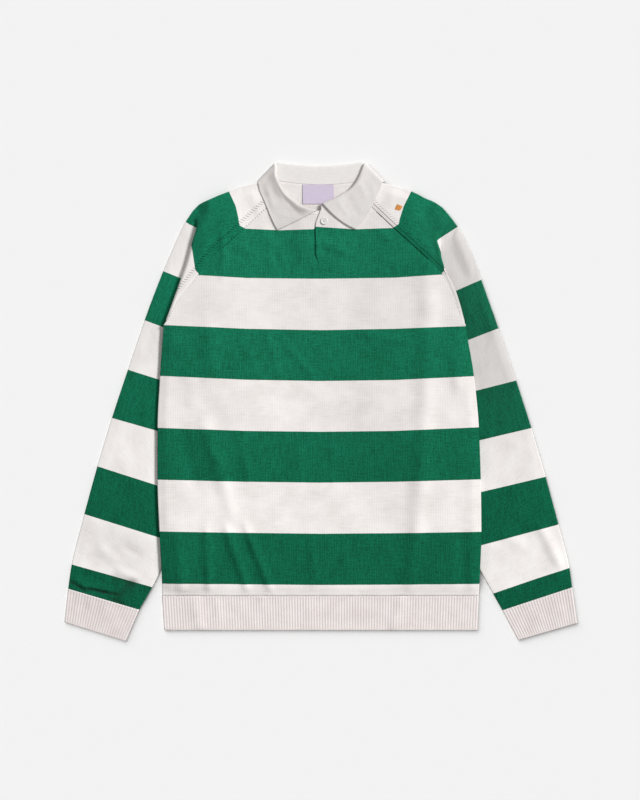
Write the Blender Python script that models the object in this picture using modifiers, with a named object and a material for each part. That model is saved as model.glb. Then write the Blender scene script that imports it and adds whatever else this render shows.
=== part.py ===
"""A knit polo shirt with raglan sleeves, lying flat with both sleeves turned down.

+X is the viewer's right, +Y runs to the collar and +Z is up, off the surface it lies on.
Sizes in the tables are millimetres; MM turns them into metres as each mesh is made.
Every piece of cloth is a sheet, worked out on its middle surface, that Solidify makes a wall.
"""

from collections import namedtuple
from math import acos, cos, degrees, hypot, radians, sin

import bmesh
import bpy
from mathutils import Vector

MM = 0.001
UP = Vector((0, 0, 1))

# Cloth, in millimetres
JERSEY = 1.6  # wall of the body and sleeves
RIB = 2.2  # wall of the hem and cuffs
COLLAR = 2.0
LABEL = 1.0
SEAM = 0.3  # gap between two pieces that are sewn together
SEAM_HALF = 0.6  # from a folded seam's middle to the middle of each edge, whose corners lean in
PITCH = 2.0  # from one layer of jersey to the next, middle to middle
HALF = PITCH / 2
FOLD = HALF + JERSEY / 2  # from the middle of a flat tube's folded edge to its outside
FLAT = JERSEY + 0.2  # height of the middle between the two layers that lie on the surface

# The pleat that each sleeve takes where it is turned down
PLEAT_LIFT = 4 * PITCH  # two folded layers and the two of the sleeve below them
SLEEVE_LIFT = 2 * PITCH  # the two layers of a sleeve tucked under the body
COLLAR_LIFT = 2.8  # the collar's back leaf, under the back panel
NECK_EASE = 2.0  # how far the front stands off the back round the neck opening
NECK_MIDDLE = 330.0  # level of the middle of the neck opening
NECK_OPEN, NECK_FADE = 60.0, 60.0  # reach of that lift from the opening's middle, then its fade
HEM_EASE = 30.0  # height over the hem seam at which the body is lifted in full
PLEAT_TURNS = (0.0, 1 / 3, 2 / 3, 1.0)  # shares of each fold's turn
PLEAT_END = 26.0  # the upper fold stops this far short of the underarm
PLEAT_OPEN = 0.24  # share across the sleeve where the pleat starts to deepen
PLEAT_SLIDE = 1.4  # between rows of the pleat where it has closed
PLEAT_EASE = 1.5  # how much wider the fold turns for each millimetre that it drops less
NOTCH_OPEN, NOTCH_FADE = 4.0, 38.0  # the lift starts this far from the pleat's outer end
TUCK_MARGIN = 40.0  # how far cloth stays level past the edge of what lies under it
TUCK_RAMP = 50.0  # and how far it takes to come down to the surface
LEAF_MARGIN, LEAF_RAMP = 10.0, 60.0  # the same, over the collar's back leaf

# Placket: slit from the neckline, with a strip under it
STRIP_LIFT = 2.0
STRIP_MARGIN, STRIP_FADE = 9.0, 22.0
STRIP_LEFT, STRIP_RIGHT, STRIP_BOTTOM, STRIP_TOP = -20.0, 16.0, 232.0, 298.0

ROLL_HEIGHT = 3.0  # collar's roll, from the stand's middle to the leaf's
ROLL_TURNS = (0, 45, 90, 135, 180)
LEAF_SHARES = (0.35, 0.7, 1.0)
LEAF_RISE = 2.6  # leaf's middle over the middle of the panel that it lies on
STAND_RISE = 0.2  # how far the back stand climbs from its seam to the roll
NECK_SIDE_TURNS = (80, 45, 0, -45, -80)  # which way the collar faces round the side of the neck
SIDE_TURN = 90 - degrees(SEAM_HALF / HALF)  # how far a panel's edge curls to its side seam

UNDERARM_CURL = 0.6  # the side seam starts to open there towards the raglan seams
RAGLAN_INSET = SEAM_HALF + HALF * radians(SIDE_TURN)  # from a raglan seam to where an edge curls

BUTTON_X, BUTTON_Y = 5.8, 291.3
BUTTON_SEAT = 0.6  # over the cloth under its middle, to clear the slope
BUTTON_STEPS = 16

GREEN = (0.012, 0.21, 0.105)
WHITE = (0.80, 0.77, 0.75)
LILAC = (0.61, 0.52, 0.67)
CREAM = (0.78, 0.75, 0.73)
CLOTH_ROUGHNESS, BUTTON_ROUGHNESS = 0.9, 0.35

Point = namedtuple("Point", "x y")
Side = namedtuple("Side", "level left right")
Slit = namedtuple("Slit", "level x")
Raglan = namedtuple("Raglan", "outer front back")
Across = namedtuple("Across", "outer inner")
Leaf = namedtuple("Leaf", "seam roll edge layer")
Turned = namedtuple("Turned", "radius height")


def row(kind, *pairs):
    return kind(*(Point(*pair) for pair in pairs))


# Side seams, from the hem seam to the underarm
BODY_SIDES = (
    Side(-315.7, -257, 256),
    Side(-294, -257, 257),
    Side(-212, -261, 260),
    Side(-128, -264, 259),
    Side(-44, -264, 256),
    Side(40, -260, 248),
    Side(121, -254, 234),
)
BODY_LEVELS = (-315.7, -300, -284, -262, -220, -175, -130, -85, -40, 5, 46, 84, 121)

# Edge of the placket slit, from its foot to the neckline
SLIT = (Slit(-400, -3), Slit(224, -3), Slit(244, -9), Slit(291, -9), Slit(304, -5), Slit(319, 1))

# Raglan part of a sleeve, from the neckline to the underarm: its outer edge and the two seams
RAGLAN_LEFT = (
    row(Raglan, (-91, 355), (-75, 322), (-70, 357)),
    row(Raglan, (-105, 351.5), (-92, 307), (-91, 314)),
    row(Raglan, (-125, 347.5), (-122, 279), (-122, 279)),
    row(Raglan, (-148, 339), (-158, 247), (-158, 247)),
    row(Raglan, (-166, 331), (-175.7, 230), (-175.7, 230)),
    row(Raglan, (-179, 324.5), (-204, 192), (-204, 192)),
)
RAGLAN_RIGHT = (
    row(Raglan, (91, 355), (66, 327), (68, 357)),
    row(Raglan, (104, 351.5), (82, 312), (85, 316)),
    row(Raglan, (124, 347), (116, 280), (116, 280)),
    row(Raglan, (146, 339), (147, 252), (147, 252)),
    row(Raglan, (167, 329), (168.5, 232), (168.5, 232)),
    row(Raglan, (177, 324), (189, 212), (189, 212)),
)
# The pleat's upper fold, from the sleeve's outer edge to the underarm
PLEAT_LEFT = (
    Point(-206, 305), Point(-197, 294), Point(-201, 279),
    Point(-212, 225), Point(-226, 198), Point(-254, 121),
)
PLEAT_RIGHT = (
    Point(208, 301), Point(200, 286), Point(194, 262),
    Point(204, 212), Point(218, 184), Point(236, 118),
)
# Where the underarm seam leaves the pleat, hidden under the body
TUCK_LEFT, TUCK_RIGHT = Point(-142, 5), Point(136, 5)

# Rows across the sleeve below the pleat, to the cuff seam
LOWER_LEFT = (
    row(Across, (-221, 287), (-146, -8)),
    row(Across, (-244, 236), (-155, -30)),
    row(Across, (-274, 161), (-170, -67)),
    row(Across, (-312, 51), (-197, -130)),
    row(Across, (-350, -66), (-226, -198)),
    row(Across, (-383, -184), (-256, -268)),
    row(Across, (-403, -263), (-277, -309)),
    row(Across, (-409, -303.7), (-294, -337.7)),
)
LOWER_RIGHT = (
    row(Across, (223, 281), (140, -8)),
    row(Across, (243, 240), (150, -30)),
    row(Across, (273, 159), (165, -67)),
    row(Across, (316, 34), (194, -130)),
    row(Across, (352, -80), (225, -198)),
    row(Across, (385, -200), (256, -270)),
    row(Across, (402, -266), (279, -312)),
    row(Across, (407, -301.5), (294, -338.7)),
)
CUFF_LEFT = (row(Across, (-409, -304), (-294, -338)), row(Across, (-415, -358), (-316, -389)))
CUFF_RIGHT = (row(Across, (407, -301.8), (294, -339)), row(Across, (415, -359.5), (319.5, -387)))
SLEEVE_COLUMNS = (0.0, 0.07, 0.15, 0.24, 0.34, 0.48, 0.63, 0.8, 1.0)

HEM_LEFT, HEM_RIGHT, HEM_TOP, HEM_BOTTOM = -257, 256, -316, -371

# Necklines, each from the viewer's left to right
FRONT_NECK = (
    Point(-75, 322), Point(-57, 307), Point(-36, 299.5), Point(-10, 301),
    Point(2, 311), Point(19, 310), Point(34, 312), Point(52, 319), Point(66, 327),
)
BACK_NECK = (
    Point(-70, 357), Point(-54, 355), Point(-27, 352), Point(0, 351),
    Point(27, 352), Point(54, 355), Point(68, 357),
)

# Shares across a panel where its columns run, two of them close together for the slit
SHARES = (0, 0.035, 0.09, 0.16, 0.24, 0.32, 0.4, 0.49, 0.51, 0.6, 0.68, 0.76, 0.84, 0.91, 0.965, 1)
SLIT_COLUMN = 7

LABEL_LEFT, LABEL_RIGHT, LABEL_BOTTOM, LABEL_TOP = -29.6, 21.4, 319, 350.4

# Collar, from the left front end round the back neck to the right front end:
# the neck seam, the roll, the leaf's edge, then the layer (x: 1 in front, 0 at the side, -1
# behind) and how far the leaf's edge bows (y)
COLLAR_ROWS = (
    row(Leaf, (-15, 301.6), (-12.5, 307), (-70, 277), (1, 4)),
    row(Leaf, (-36, 301.2), (-28.5, 315), (-77, 290), (1, 0)),
    row(Leaf, (-56, 308), (-43, 325), (-82, 301), (1, 0)),
    row(Leaf, (-73.5, 321.8), (-57, 336.5), (-87, 314), (1, 0)),
    row(Leaf, (-82.5, 338.5), (-66, 352), (-93, 328), (1, 0)),
    row(Leaf, (-89.2, 353), (-72, 371), (-99, 342), (1, 0)),
    row(Leaf, (-89, 356.8), (-75, 386), (-104, 355), (0, 0)),
    row(Leaf, (-79, 359), (-68, 386), (-92, 345), (-1, 0)),
    row(Leaf, (-54, 355.6), (-50, 384.5), (-62, 338), (-1, 0)),
    row(Leaf, (-27, 352.6), (-25, 382), (-30, 335), (-1, 0)),
    row(Leaf, (0, 351.6), (0, 381), (0, 334), (-1, 0)),
    row(Leaf, (27, 352.6), (25, 382), (30, 335), (-1, 0)),
    row(Leaf, (54, 355.6), (50, 384.5), (62, 338), (-1, 0)),
    row(Leaf, (79, 359), (66, 387), (92, 345), (-1, 0)),
    row(Leaf, (89, 356.8), (73, 387), (103, 356), (0, 0)),
    row(Leaf, (88.6, 353), (65, 371), (97, 345), (1, 0)),
    row(Leaf, (76, 338.5), (55, 352), (91, 332), (1, 0)),
    row(Leaf, (65.5, 327.6), (45.5, 342), (84, 317), (1, 0)),
    row(Leaf, (51, 319.4), (36, 336.5), (77, 304), (1, 0)),
    row(Leaf, (33.5, 312.7), (22, 328), (70, 293), (1, 0)),
    row(Leaf, (6, 311.5), (2, 319.5), (57.5, 278), (1, 5)),
)
LEAF_BACK = (Point(-104, 388), Point(104, 388), Point(104, 336), Point(-104, 336))

# Half of the button's section, from the middle of its back to the middle of its hollow face
BUTTON_SECTION = (
    Turned(0, 0), Turned(4.6, 0), Turned(5.6, 0.4), Turned(6, 1.1), Turned(5.8, 1.9),
    Turned(5.1, 2.4), Turned(4.3, 2.3), Turned(3.7, 1.6), Turned(0, 1.5),
)


def mix(a, b, t):
    return a + (b - a) * t


def ease(t):
    t = min(max(t, 0.0), 1.0)
    return t * t * (3 - 2 * t)


def read(table, level, column):
    """A column of a table of levels, read between its rows."""
    for low, high in zip(table, table[1:]):
        if level <= high[0]:
            break
    t = (level - low[0]) / (high[0] - low[0])
    return mix(getattr(low, column), getattr(high, column), t)


def along(points, t):
    """The point at a share t of a broken line's length."""
    lengths = [hypot(b[0] - a[0], b[1] - a[1]) for a, b in zip(points, points[1:])]
    left = min(max(t, 0.0), 1.0) * sum(lengths)
    for a, b, length in zip(points, points[1:], lengths):
        if left <= length + 1e-9:
            return Vector((mix(a[0], b[0], left / length), mix(a[1], b[1], left / length), 0))
        left -= length
    return Vector((*points[-1], 0))


def outside(points, x, y):
    """How far a place lies outside a convex outline given clockwise; 0 inside."""
    place = Vector((x, y))
    inside, near = True, float("inf")
    for start, end in zip(points, points[1:] + points[:1]):
        start, side = Vector(start), Vector(end) - Vector(start)
        share = min(max((place - start).dot(side) / side.length_squared, 0.0), 1.0)
        near = min(near, (place - start - side * share).length)
        inside = inside and side.cross(place - start) <= 0
    return 0.0 if inside else near


def under(points, x, y, margin=TUCK_MARGIN, ramp=TUCK_RAMP):
    """1 over an outline and its margin, falling softly to 0 beyond."""
    return 1 - ease((outside(points, x, y) - margin) / ramp)


def clockwise(points):
    area = sum(a[0] * b[1] - b[0] * a[1] for a, b in zip(points, points[1:] + points[:1]))
    return points if area < 0 else points[::-1]


def tuck(x, y, pleat, corner, lower):
    """Height that one tucked sleeve gives the cloth above it."""
    notch, underarm = pleat[1], pleat[-1]
    folded = clockwise((notch, underarm, corner))
    sleeve = clockwise((notch, lower[-3].outer, lower[-3].inner, corner))
    from_notch = ease((hypot(x - pleat[0].x, y - pleat[0].y) - NOTCH_OPEN) / NOTCH_FADE)
    from_hem = ease((y - HEM_TOP) / HEM_EASE)
    pile = max(PLEAT_LIFT * under(folded, x, y), SLEEVE_LIFT * under(sleeve, x, y))
    return from_notch * from_hem * pile


def lift(x, y):
    """Height of the cloth's underside over whatever lies beneath it."""
    neck = COLLAR_LIFT * under(clockwise(LEAF_BACK), x, y, LEAF_MARGIN, LEAF_RAMP)
    if x < 0:
        return max(neck, tuck(x, y, PLEAT_LEFT, TUCK_LEFT, LOWER_LEFT))
    return max(neck, tuck(x, y, PLEAT_RIGHT, TUCK_RIGHT, LOWER_RIGHT))


def middle(x, y):
    """Height of the middle between the back layer and the front layer."""
    return lift(x, y) + FLAT


def back_height(x, y):
    return middle(x, y) - HALF


def front_height(x, y):
    """Middle of the front panel, which rises a little over the placket's strip."""
    off = max(STRIP_LEFT - x, x - STRIP_RIGHT, STRIP_BOTTOM - y, 0.0)
    strip = STRIP_LIFT * (1 - ease((off - STRIP_MARGIN) / STRIP_FADE))
    neck = NECK_EASE * (1 - ease((hypot(x, y - NECK_MIDDLE) - NECK_OPEN) / NECK_FADE))
    return middle(x, y) + HALF + strip + neck


def front_middle(x, y):
    return front_height(x, y) - HALF


def sheet(name, across, down, place, wall, colour, skip=None):
    """A grid of cloth, moved into place point by point and given its wall by Solidify."""
    mesh = bpy.data.meshes.new(name)
    bm = bmesh.new()
    bmesh.ops.create_grid(bm, x_segments=across, y_segments=down, size=1.0)
    if skip:
        gone = [face for face in bm.faces if skip(*cell(face, across, down))]
        bmesh.ops.delete(bm, geom=gone, context="FACES")
    for vertex in bm.verts:
        i = round((vertex.co.x + 1) / 2 * across)
        j = round((vertex.co.y + 1) / 2 * down)
        vertex.co = Vector(place(i, j)) * MM
    bmesh.ops.remove_doubles(bm, verts=bm.verts, dist=0.1 * MM)
    bmesh.ops.recalc_face_normals(bm, faces=bm.faces)
    bm.to_mesh(mesh)
    bm.free()
    cloth = add(name, mesh, colour, CLOTH_ROUGHNESS)
    solidify = cloth.modifiers.new("wall", "SOLIDIFY")
    solidify.thickness = wall * MM
    solidify.offset = 0
    solidify.use_even_offset = True
    solidify.use_quality_normals = True
    return cloth


def cell(face, across, down):
    centre = face.calc_center_median()
    return int((centre.x + 1) / 2 * across), int((centre.y + 1) / 2 * down)


def add(name, mesh, colour, roughness):
    made = bpy.data.objects.new(name, mesh)
    shirt.objects.link(made)
    material = bpy.data.materials.new(name)
    material.use_nodes = True
    surface = material.node_tree.nodes["Principled BSDF"]
    surface.inputs["Base Color"].default_value = (*colour, 1)
    surface.inputs["Roughness"].default_value = roughness
    mesh.materials.append(material)
    return made


def remove_scene():
    for old in list(bpy.data.objects):
        bpy.data.objects.remove(old, do_unlink=True)


def bend(place, up, out, degrees, half, curl=1.0):
    """A point round a folded edge, or the same length of cloth left flat where curl is 0."""
    turn = radians(degrees)
    rolled = up * cos(turn) + out * sin(turn)
    return place + half * (up + out * turn).lerp(rolled, curl)


def ring(upper, lower, half, curl=1.0):
    """One row of a flat tube, from its seam over the upper layer, round the outer fold and back.

    Each layer is a list, from the fold to the seam, of its middle and the way up from there.
    """
    seam_turn = 90 - degrees(SEAM_HALF / half)
    (outer, up), (beside, _) = upper[0], upper[1]
    out = level_way(beside, outer)
    points = [bend(*seam_end(upper), turn, half, curl) for turn in (seam_turn, 45)]
    points += [place + way * half for place, way in reversed(upper)]
    points += [bend(outer, up, out, turn, half) for turn in (45, 90, 135)]
    points += [place - way * half for place, way in lower]
    place, way, out = seam_end(lower)
    points += [bend(place, -way, out, turn, half, curl) for turn in (45, seam_turn)]
    return points


def seam_end(layer):
    place, up = layer[-1]
    return place, up, level_way(layer[-2][0], place)


def level_way(start, end):
    way = Vector((end.x - start.x, end.y - start.y, 0))
    return way.normalized()


def flat_layer(outer, inner, outer_in, inner_in, height):
    """A layer's middle at each share across, each end drawn in from its outline."""
    outer, inner = Vector((*outer, 0)), Vector((*inner, 0))
    way = (inner - outer).normalized()
    start, end = outer + way * outer_in, inner - way * inner_in
    layer = []
    for share in SLEEVE_COLUMNS:
        place = start.lerp(end, share)
        place.z = height(place.x, place.y)
        layer.append((place, Vector((0, 0, 1))))
    return layer


def outward(start, end):
    """Level and square to a line down the sleeve, away from the body."""
    way = level_way(Vector((*start, 0)), Vector((*end, 0)))
    side = Vector((way.y, -way.x, 0))
    return side if side.x * start.x > 0 else -side


def pleat_rows(pleat, corner, down):
    """The two folds of the pleat: over the upper one, back under it, and round the lower one.

    Near the outer edge the pleat closes to a smooth step down, so it turns less there, and its
    rows slide apart down the sleeve.
    """
    length = sum(hypot(b.x - a.x, b.y - a.y) for a, b in zip(pleat, pleat[1:]))
    upper_out, lower_out = outward(pleat[1], pleat[-1]), outward(pleat[1], corner)
    run = Vector((corner.x - pleat[-1].x, corner.y - pleat[-1].y, 0))
    rows = [[] for _ in range(2 * len(PLEAT_TURNS))]
    for share in SLEEVE_COLUMNS:
        edge = along(pleat, mix(FOLD / length, 1 - PLEAT_END / length, share))
        start = edge - upper_out * (PITCH + FOLD)
        drop = lift(start.x, start.y)
        radius = PITCH + PLEAT_EASE * (PLEAT_LIFT - drop)
        turn = acos(max(1 - drop / (2 * radius), -1.0))
        depth = max((share - PLEAT_OPEN) / (1 - PLEAT_OPEN), 0.0)
        lower_way = upper_out.lerp(lower_out, min(depth * 5, 1.0)).normalized()
        back = start + upper_out * radius * sin(turn) + run * depth
        slide = down * PLEAT_SLIDE * max(1 - drop / SLEEVE_LIFT, 0.0)
        for index, part in enumerate(PLEAT_TURNS):
            angle = turn * part
            over = start + upper_out * radius * sin(angle)
            over.z = FLAT + drop - radius * (1 - cos(angle))
            over += slide * index
            rows[index].append((over, upper_out * sin(angle) + UP * cos(angle)))
            below = back + lower_way * radius * (sin(turn) - sin(angle))
            below.z = FLAT + radius * (1 - cos(angle))
            below += slide * (len(rows) - 1 - index)
            rows[-1 - index].append((below, lower_way * sin(angle) + UP * cos(angle)))
    return rows


def build_sleeve(name, raglan, pleat, corner, lower):
    rows = []
    for line in raglan:
        front = flat_layer(line.outer, line.front, FOLD, RAGLAN_INSET, front_middle)
        back = flat_layer(line.outer, line.back, FOLD, RAGLAN_INSET, middle)
        rows.append(ring(front, back, HALF, curl=0.0))
    down = level_way(Vector(raglan[-1].outer), Vector(lower[0].outer))
    rows += [ring(layer, layer, HALF) for layer in pleat_rows(pleat, corner, down)]
    for line in lower:
        layer = flat_layer(line.outer, line.inner, FOLD, FOLD, lambda x, y: FLAT)
        rows.append(ring(layer, layer, HALF))
    return sheet(name, len(rows[0]) - 1, len(rows) - 1, lambda i, j: rows[j][i], JERSEY, GREEN)


def build_rib(name, lines, steps):
    """A ribbed band: a flat tube with straight ends."""
    half = (RIB + 0.4) / 2
    rows = []
    for step in range(steps + 1):
        outer, inner = (
            Vector(first).lerp(Vector(last), step / steps) for first, last in zip(*lines)
        )
        edge = half + RIB / 2
        layer = flat_layer(outer, inner, edge, edge, lambda x, y: RIB + 0.2)
        rows.append(ring(layer, layer, half))
    return sheet(name, len(rows[0]) - 1, steps, lambda i, j: rows[j][i], RIB, WHITE)


def panel_rows(left_seam, right_seam):
    """Ends of each row of a body panel, from the hem to the neckline, and whether it is curled."""
    rows = []
    for level in BODY_LEVELS:
        left, right = read(BODY_SIDES, level, "left"), read(BODY_SIDES, level, "right")
        curl = UNDERARM_CURL if level == BODY_LEVELS[-1] else 1.0
        rows.append((Vector((left + FOLD, level)), Vector((right - FOLD, level)), curl))
    inset = Vector((RAGLAN_INSET, 0))
    top = BODY_SIDES[-1]
    left_seam = left_seam + [(Vector(left_seam[-1]) + Vector((top.left, top.level))) / 2]
    right_seam = right_seam + [(Vector(right_seam[-1]) + Vector((top.right, top.level))) / 2]
    for left, right in zip(reversed(left_seam), reversed(right_seam)):
        rows.append((Vector(left) + inset, Vector(right) - inset, 0.0))
    return rows


def panel_point(ends, share, neck, rise):
    """A place on a panel's row; near the neck the row sags to follow the neckline."""
    place = ends[0].lerp(ends[1], share)
    x = min(max(place.x, neck[0].x), neck[-1].x)
    level_neck = mix(neck[0].y, neck[-1].y, share)
    neck_y = next(mix(a.y, b.y, (x - a.x) / (b.x - a.x)) for a, b in zip(neck, neck[1:]) if x <= b.x)
    place.y -= (level_neck - neck_y) * rise
    return place


def build_panel(name, rows, neck, height, layer):
    """A body panel from its rows; each side curls to its side seam, or stays flat at a raglan."""
    flat_rows = len(BODY_LEVELS) + 1
    last = len(SHARES) - 1
    turns = {0: SIDE_TURN, 1: 45, last + 3: 45, last + 4: SIDE_TURN}

    def place(i, j):
        ends = rows[j]
        column = min(max(i - 2, 0), last)
        rise = max(j - flat_rows + 1, 0) / (len(rows) - flat_rows)
        flat = panel_point(ends, SHARES[column], neck, rise)
        if column in (SLIT_COLUMN, SLIT_COLUMN + 1):
            flat.x = read(SLIT, flat.y, "x") + (SEAM if column > SLIT_COLUMN else -SEAM)
        spot = Vector((flat.x, flat.y, height(flat.x, flat.y)))
        if i not in turns:
            return spot
        out = Vector((-1 if i < 2 else 1, 0, 0))
        return bend(spot - UP * layer * HALF, UP * layer, out, turns[i], HALF, ends[2])

    def in_slit(i, j):
        return layer > 0 and i == SLIT_COLUMN + 2 and j >= flat_rows + 1

    return sheet(name, last + 4, len(rows) - 1, place, JERSEY, GREEN, in_slit)


def build_collar():
    rows = []
    for line in COLLAR_ROWS:
        if line.layer.x:
            rows.append(collar_row(line, line.layer.x * 90))
        else:
            turns = NECK_SIDE_TURNS if line.seam.x < 0 else reversed(NECK_SIDE_TURNS)
            rows += [collar_row(line, turn) for turn in turns]
    return sheet("collar", len(rows[0]) - 1, len(rows) - 1, lambda i, j: rows[j][i], COLLAR, WHITE)


def collar_row(line, degrees):
    """Across the collar: up the stand, round the roll and down the leaf.

    degrees is the way it faces at the side of the neck: 90 in front, 0 sideways, -90 behind.
    """
    turn = radians(degrees)
    front_share = (1 + sin(turn)) / 2
    draw_in = 1 - cos(turn) if line.layer.x == 0 else 0.0
    sideways = cos(turn) if line.layer.x == 0 else 0.0
    seam, roll, edge = (Vector((*place, 0)) for place in line[:3])
    along_roll = level_way((seam + edge) / 2, roll)
    aside = level_way(edge, roll).cross(UP)
    if aside.x * seam.x < 0:
        aside = -aside
    half_wall = COLLAR / 2
    front = front_height(seam.x, seam.y)
    back = lift(seam.x, seam.y) + JERSEY / 2
    front_leaf, back_leaf = front + ROLL_HEIGHT, half_wall
    in_by = (front_leaf - back_leaf) / 2 * draw_in + half_wall * sideways

    leaf_start = roll - along_roll * (ROLL_HEIGHT / 2 + half_wall) - aside * in_by
    leaf_start.z = mix(back_leaf, front_leaf, front_share)
    leaf_end = edge - aside * in_by
    leaf_end.z = mix(back_leaf, front_height(edge.x, edge.y) + LEAF_RISE, front_share)
    stand_end = leaf_start - aside * ROLL_HEIGHT * sideways
    stand_end.z = mix(back + STAND_RISE, front, front_share)
    if line.layer.x < 0:
        stand_end.z = leaf_start.z + ROLL_HEIGHT
    seam -= aside * draw_in * HALF
    seam.z = mix(back, front, front_share)

    points = [seam, seam.lerp(stand_end, 0.5)]
    half_gap = (leaf_start - stand_end) / 2
    for angle in ROLL_TURNS:
        centre = stand_end + half_gap * (1 - cos(radians(angle)))
        points.append(centre + along_roll * half_gap.length * sin(radians(angle)))
    for share in LEAF_SHARES:
        place = leaf_start.lerp(leaf_end, share)
        place.y -= line.layer.y * 4 * share * (1 - share)
        points.append(place)
    return points


def build_button():
    """A turned disc with a raised rim."""
    mesh = bpy.data.meshes.new("button")
    bm = bmesh.new()
    section = [bm.verts.new((at.radius * MM, 0, at.height * MM)) for at in reversed(BUTTON_SECTION)]
    for start, end in zip(section, section[1:]):
        bm.edges.new((start, end))
    bm.to_mesh(mesh)
    bm.free()
    button = add("button", mesh, CREAM, BUTTON_ROUGHNESS)
    seat = front_height(BUTTON_X, BUTTON_Y) + JERSEY / 2 + BUTTON_SEAT
    button.location = Vector((BUTTON_X, BUTTON_Y, seat)) * MM
    screw = button.modifiers.new("turn", "SCREW")
    screw.steps = screw.render_steps = BUTTON_STEPS
    screw.use_merge_vertices = True
    screw.merge_threshold = 0.01 * MM
    return button


def build_strip():
    """The placket's strip, made from the front panel's points and moved in under them."""
    across, down = 4, 5

    def place(i, j):
        x = mix(STRIP_LEFT, STRIP_RIGHT, i / across)
        y = mix(STRIP_BOTTOM, STRIP_TOP, j / down)
        return x, y, front_height(x, y) - STRIP_LIFT

    return sheet("placket_underlap", across, down, place, JERSEY, GREEN)


def build_label():
    """The neck label, made from the back panel's points and moved up off them."""
    across, down = 4, 3

    def place(i, j):
        x, y = mix(LABEL_LEFT, LABEL_RIGHT, i / across), mix(LABEL_BOTTOM, LABEL_TOP, j / down)
        return x, y, lift(x, y) + JERSEY + SEAM + LABEL / 2

    return sheet("neck_label", across, down, place, LABEL, LILAC)


remove_scene()
shirt = bpy.data.collections.new("knit_polo_shirt")
bpy.context.scene.collection.children.link(shirt)

front_rows = panel_rows([line.front for line in RAGLAN_LEFT], [line.front for line in RAGLAN_RIGHT])
back_rows = panel_rows([line.back for line in RAGLAN_LEFT], [line.back for line in RAGLAN_RIGHT])
build_panel("front_body", front_rows, FRONT_NECK, front_height, 1)
build_panel("back_body", back_rows, BACK_NECK, back_height, -1)
build_sleeve("sleeve_left", RAGLAN_LEFT, PLEAT_LEFT, TUCK_LEFT, LOWER_LEFT)
build_sleeve("sleeve_right", RAGLAN_RIGHT, PLEAT_RIGHT, TUCK_RIGHT, LOWER_RIGHT)
hem_lines = [row(Across, (HEM_LEFT, y), (HEM_RIGHT, y)) for y in (HEM_TOP, HEM_BOTTOM)]
build_rib("hem_rib", hem_lines, 2)
build_rib("cuff_left", CUFF_LEFT, 2)
build_rib("cuff_right", CUFF_RIGHT, 2)
build_collar()
build_strip()
build_label()
build_button()
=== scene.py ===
"""The looks of a knit polo shirt that lies flat with its raglan sleeves turned down.

Tables are in millimetres, as the shirt was cut; MM turns them into metres as a mesh is made.
+X is the viewer's right, +Y runs to the collar and +Z is up, off the floor.
"""

import bmesh
import bpy
import numpy as np
from mathutils import Matrix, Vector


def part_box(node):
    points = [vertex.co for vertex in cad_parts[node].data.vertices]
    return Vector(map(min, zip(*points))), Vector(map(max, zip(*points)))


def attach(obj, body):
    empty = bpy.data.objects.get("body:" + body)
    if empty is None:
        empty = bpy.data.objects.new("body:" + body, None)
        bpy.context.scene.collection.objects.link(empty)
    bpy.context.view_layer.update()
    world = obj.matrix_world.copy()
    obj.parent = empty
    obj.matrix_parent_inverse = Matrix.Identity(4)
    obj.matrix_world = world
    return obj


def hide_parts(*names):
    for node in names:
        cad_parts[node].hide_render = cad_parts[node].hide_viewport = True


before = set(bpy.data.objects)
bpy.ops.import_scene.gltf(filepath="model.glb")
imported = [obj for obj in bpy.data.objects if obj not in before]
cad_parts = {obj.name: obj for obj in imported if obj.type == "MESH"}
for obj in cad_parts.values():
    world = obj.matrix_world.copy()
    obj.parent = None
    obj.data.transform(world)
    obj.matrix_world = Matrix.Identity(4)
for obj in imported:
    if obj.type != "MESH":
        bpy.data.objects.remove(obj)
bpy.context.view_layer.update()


# Hem rib and cuffs
# Three flat tubes of ribbed cotton in the white yarn. They are knitted first, and the body and
# the sleeves are linked to them stitch by stitch; the ribs stand up and draw the cloth in.

MM = 0.001
UP = np.array((0.0, 0.0, 1.0))
RIB = 1.7
RIB_HALF = 1.3  # from the middle between a rib tube's layers to the middle of each
SEAM_DIP = 0.55  # how far an edge that isn't curled dips at its seam
RIB_PITCH, CUFF_PITCH = 4.5, 4.9
RIB_WALE, COURSE = 2.25, 2.2
HEM_TOP = -316
RIB_WHITE = (0.86, 0.795, 0.775, 1)
RIB_SHADE = (0.60, 0.53, 0.52, 1)
# Folds and painted shades here and below: from, to, half width, height or depth of painted shade
RIB_FOLDS = (
    (-206, -314, -196, -374, 9, 1.6), (-170, -316, -164, -352, 6, 0.6), (-96, -314, -90, -345, 7, 0.6),
    (134, -314, 113, -374, 8, 1.4), (-20, -318, -18, -350, 9, 0.4), (-400, -310, -404, -350, 6, -0.4),
    (-350, -330, -356, -365, 7, 0.4), (396, -308, 402, -350, 6, -0.4),
)
RIB_SHADES = (
    (-379, -310, -377, -342, 6, 0.3), (-352, -318, -356, -356, 9, 0.16),
    (-338, -372, -322, -380, 8, 0.12),
    (372, -314, 376, -346, 8, 0.14), (332, -330, 340, -372, 9, 0.16),
    (-230, -320, -226, -366, 12, 0.08),
    (60, -322, 64, -366, 16, 0.08),
)


def ease(t):
    t = np.clip(t, 0, 1)
    return t * t * (3 - 2 * t)


def creased(table, x, y):
    """Sum of soft creases: each runs from one place to another, this wide and this high."""
    height = np.zeros(np.shape(x))
    for ax, ay, bx, by, width, rise in table:
        dx, dy = bx - ax, by - ay
        run = np.hypot(dx, dy)
        along = ((x - ax) * dx + (y - ay) * dy) / run
        aside = ((x - ax) * dy - (y - ay) * dx) / run
        ends = np.exp(-((np.maximum(np.abs(along - run / 2) - run * 0.3, 0) / (run * 0.2 + 1)) ** 2))
        height += rise * np.exp(-((aside / width) ** 2)) * ends
    return height


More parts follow.
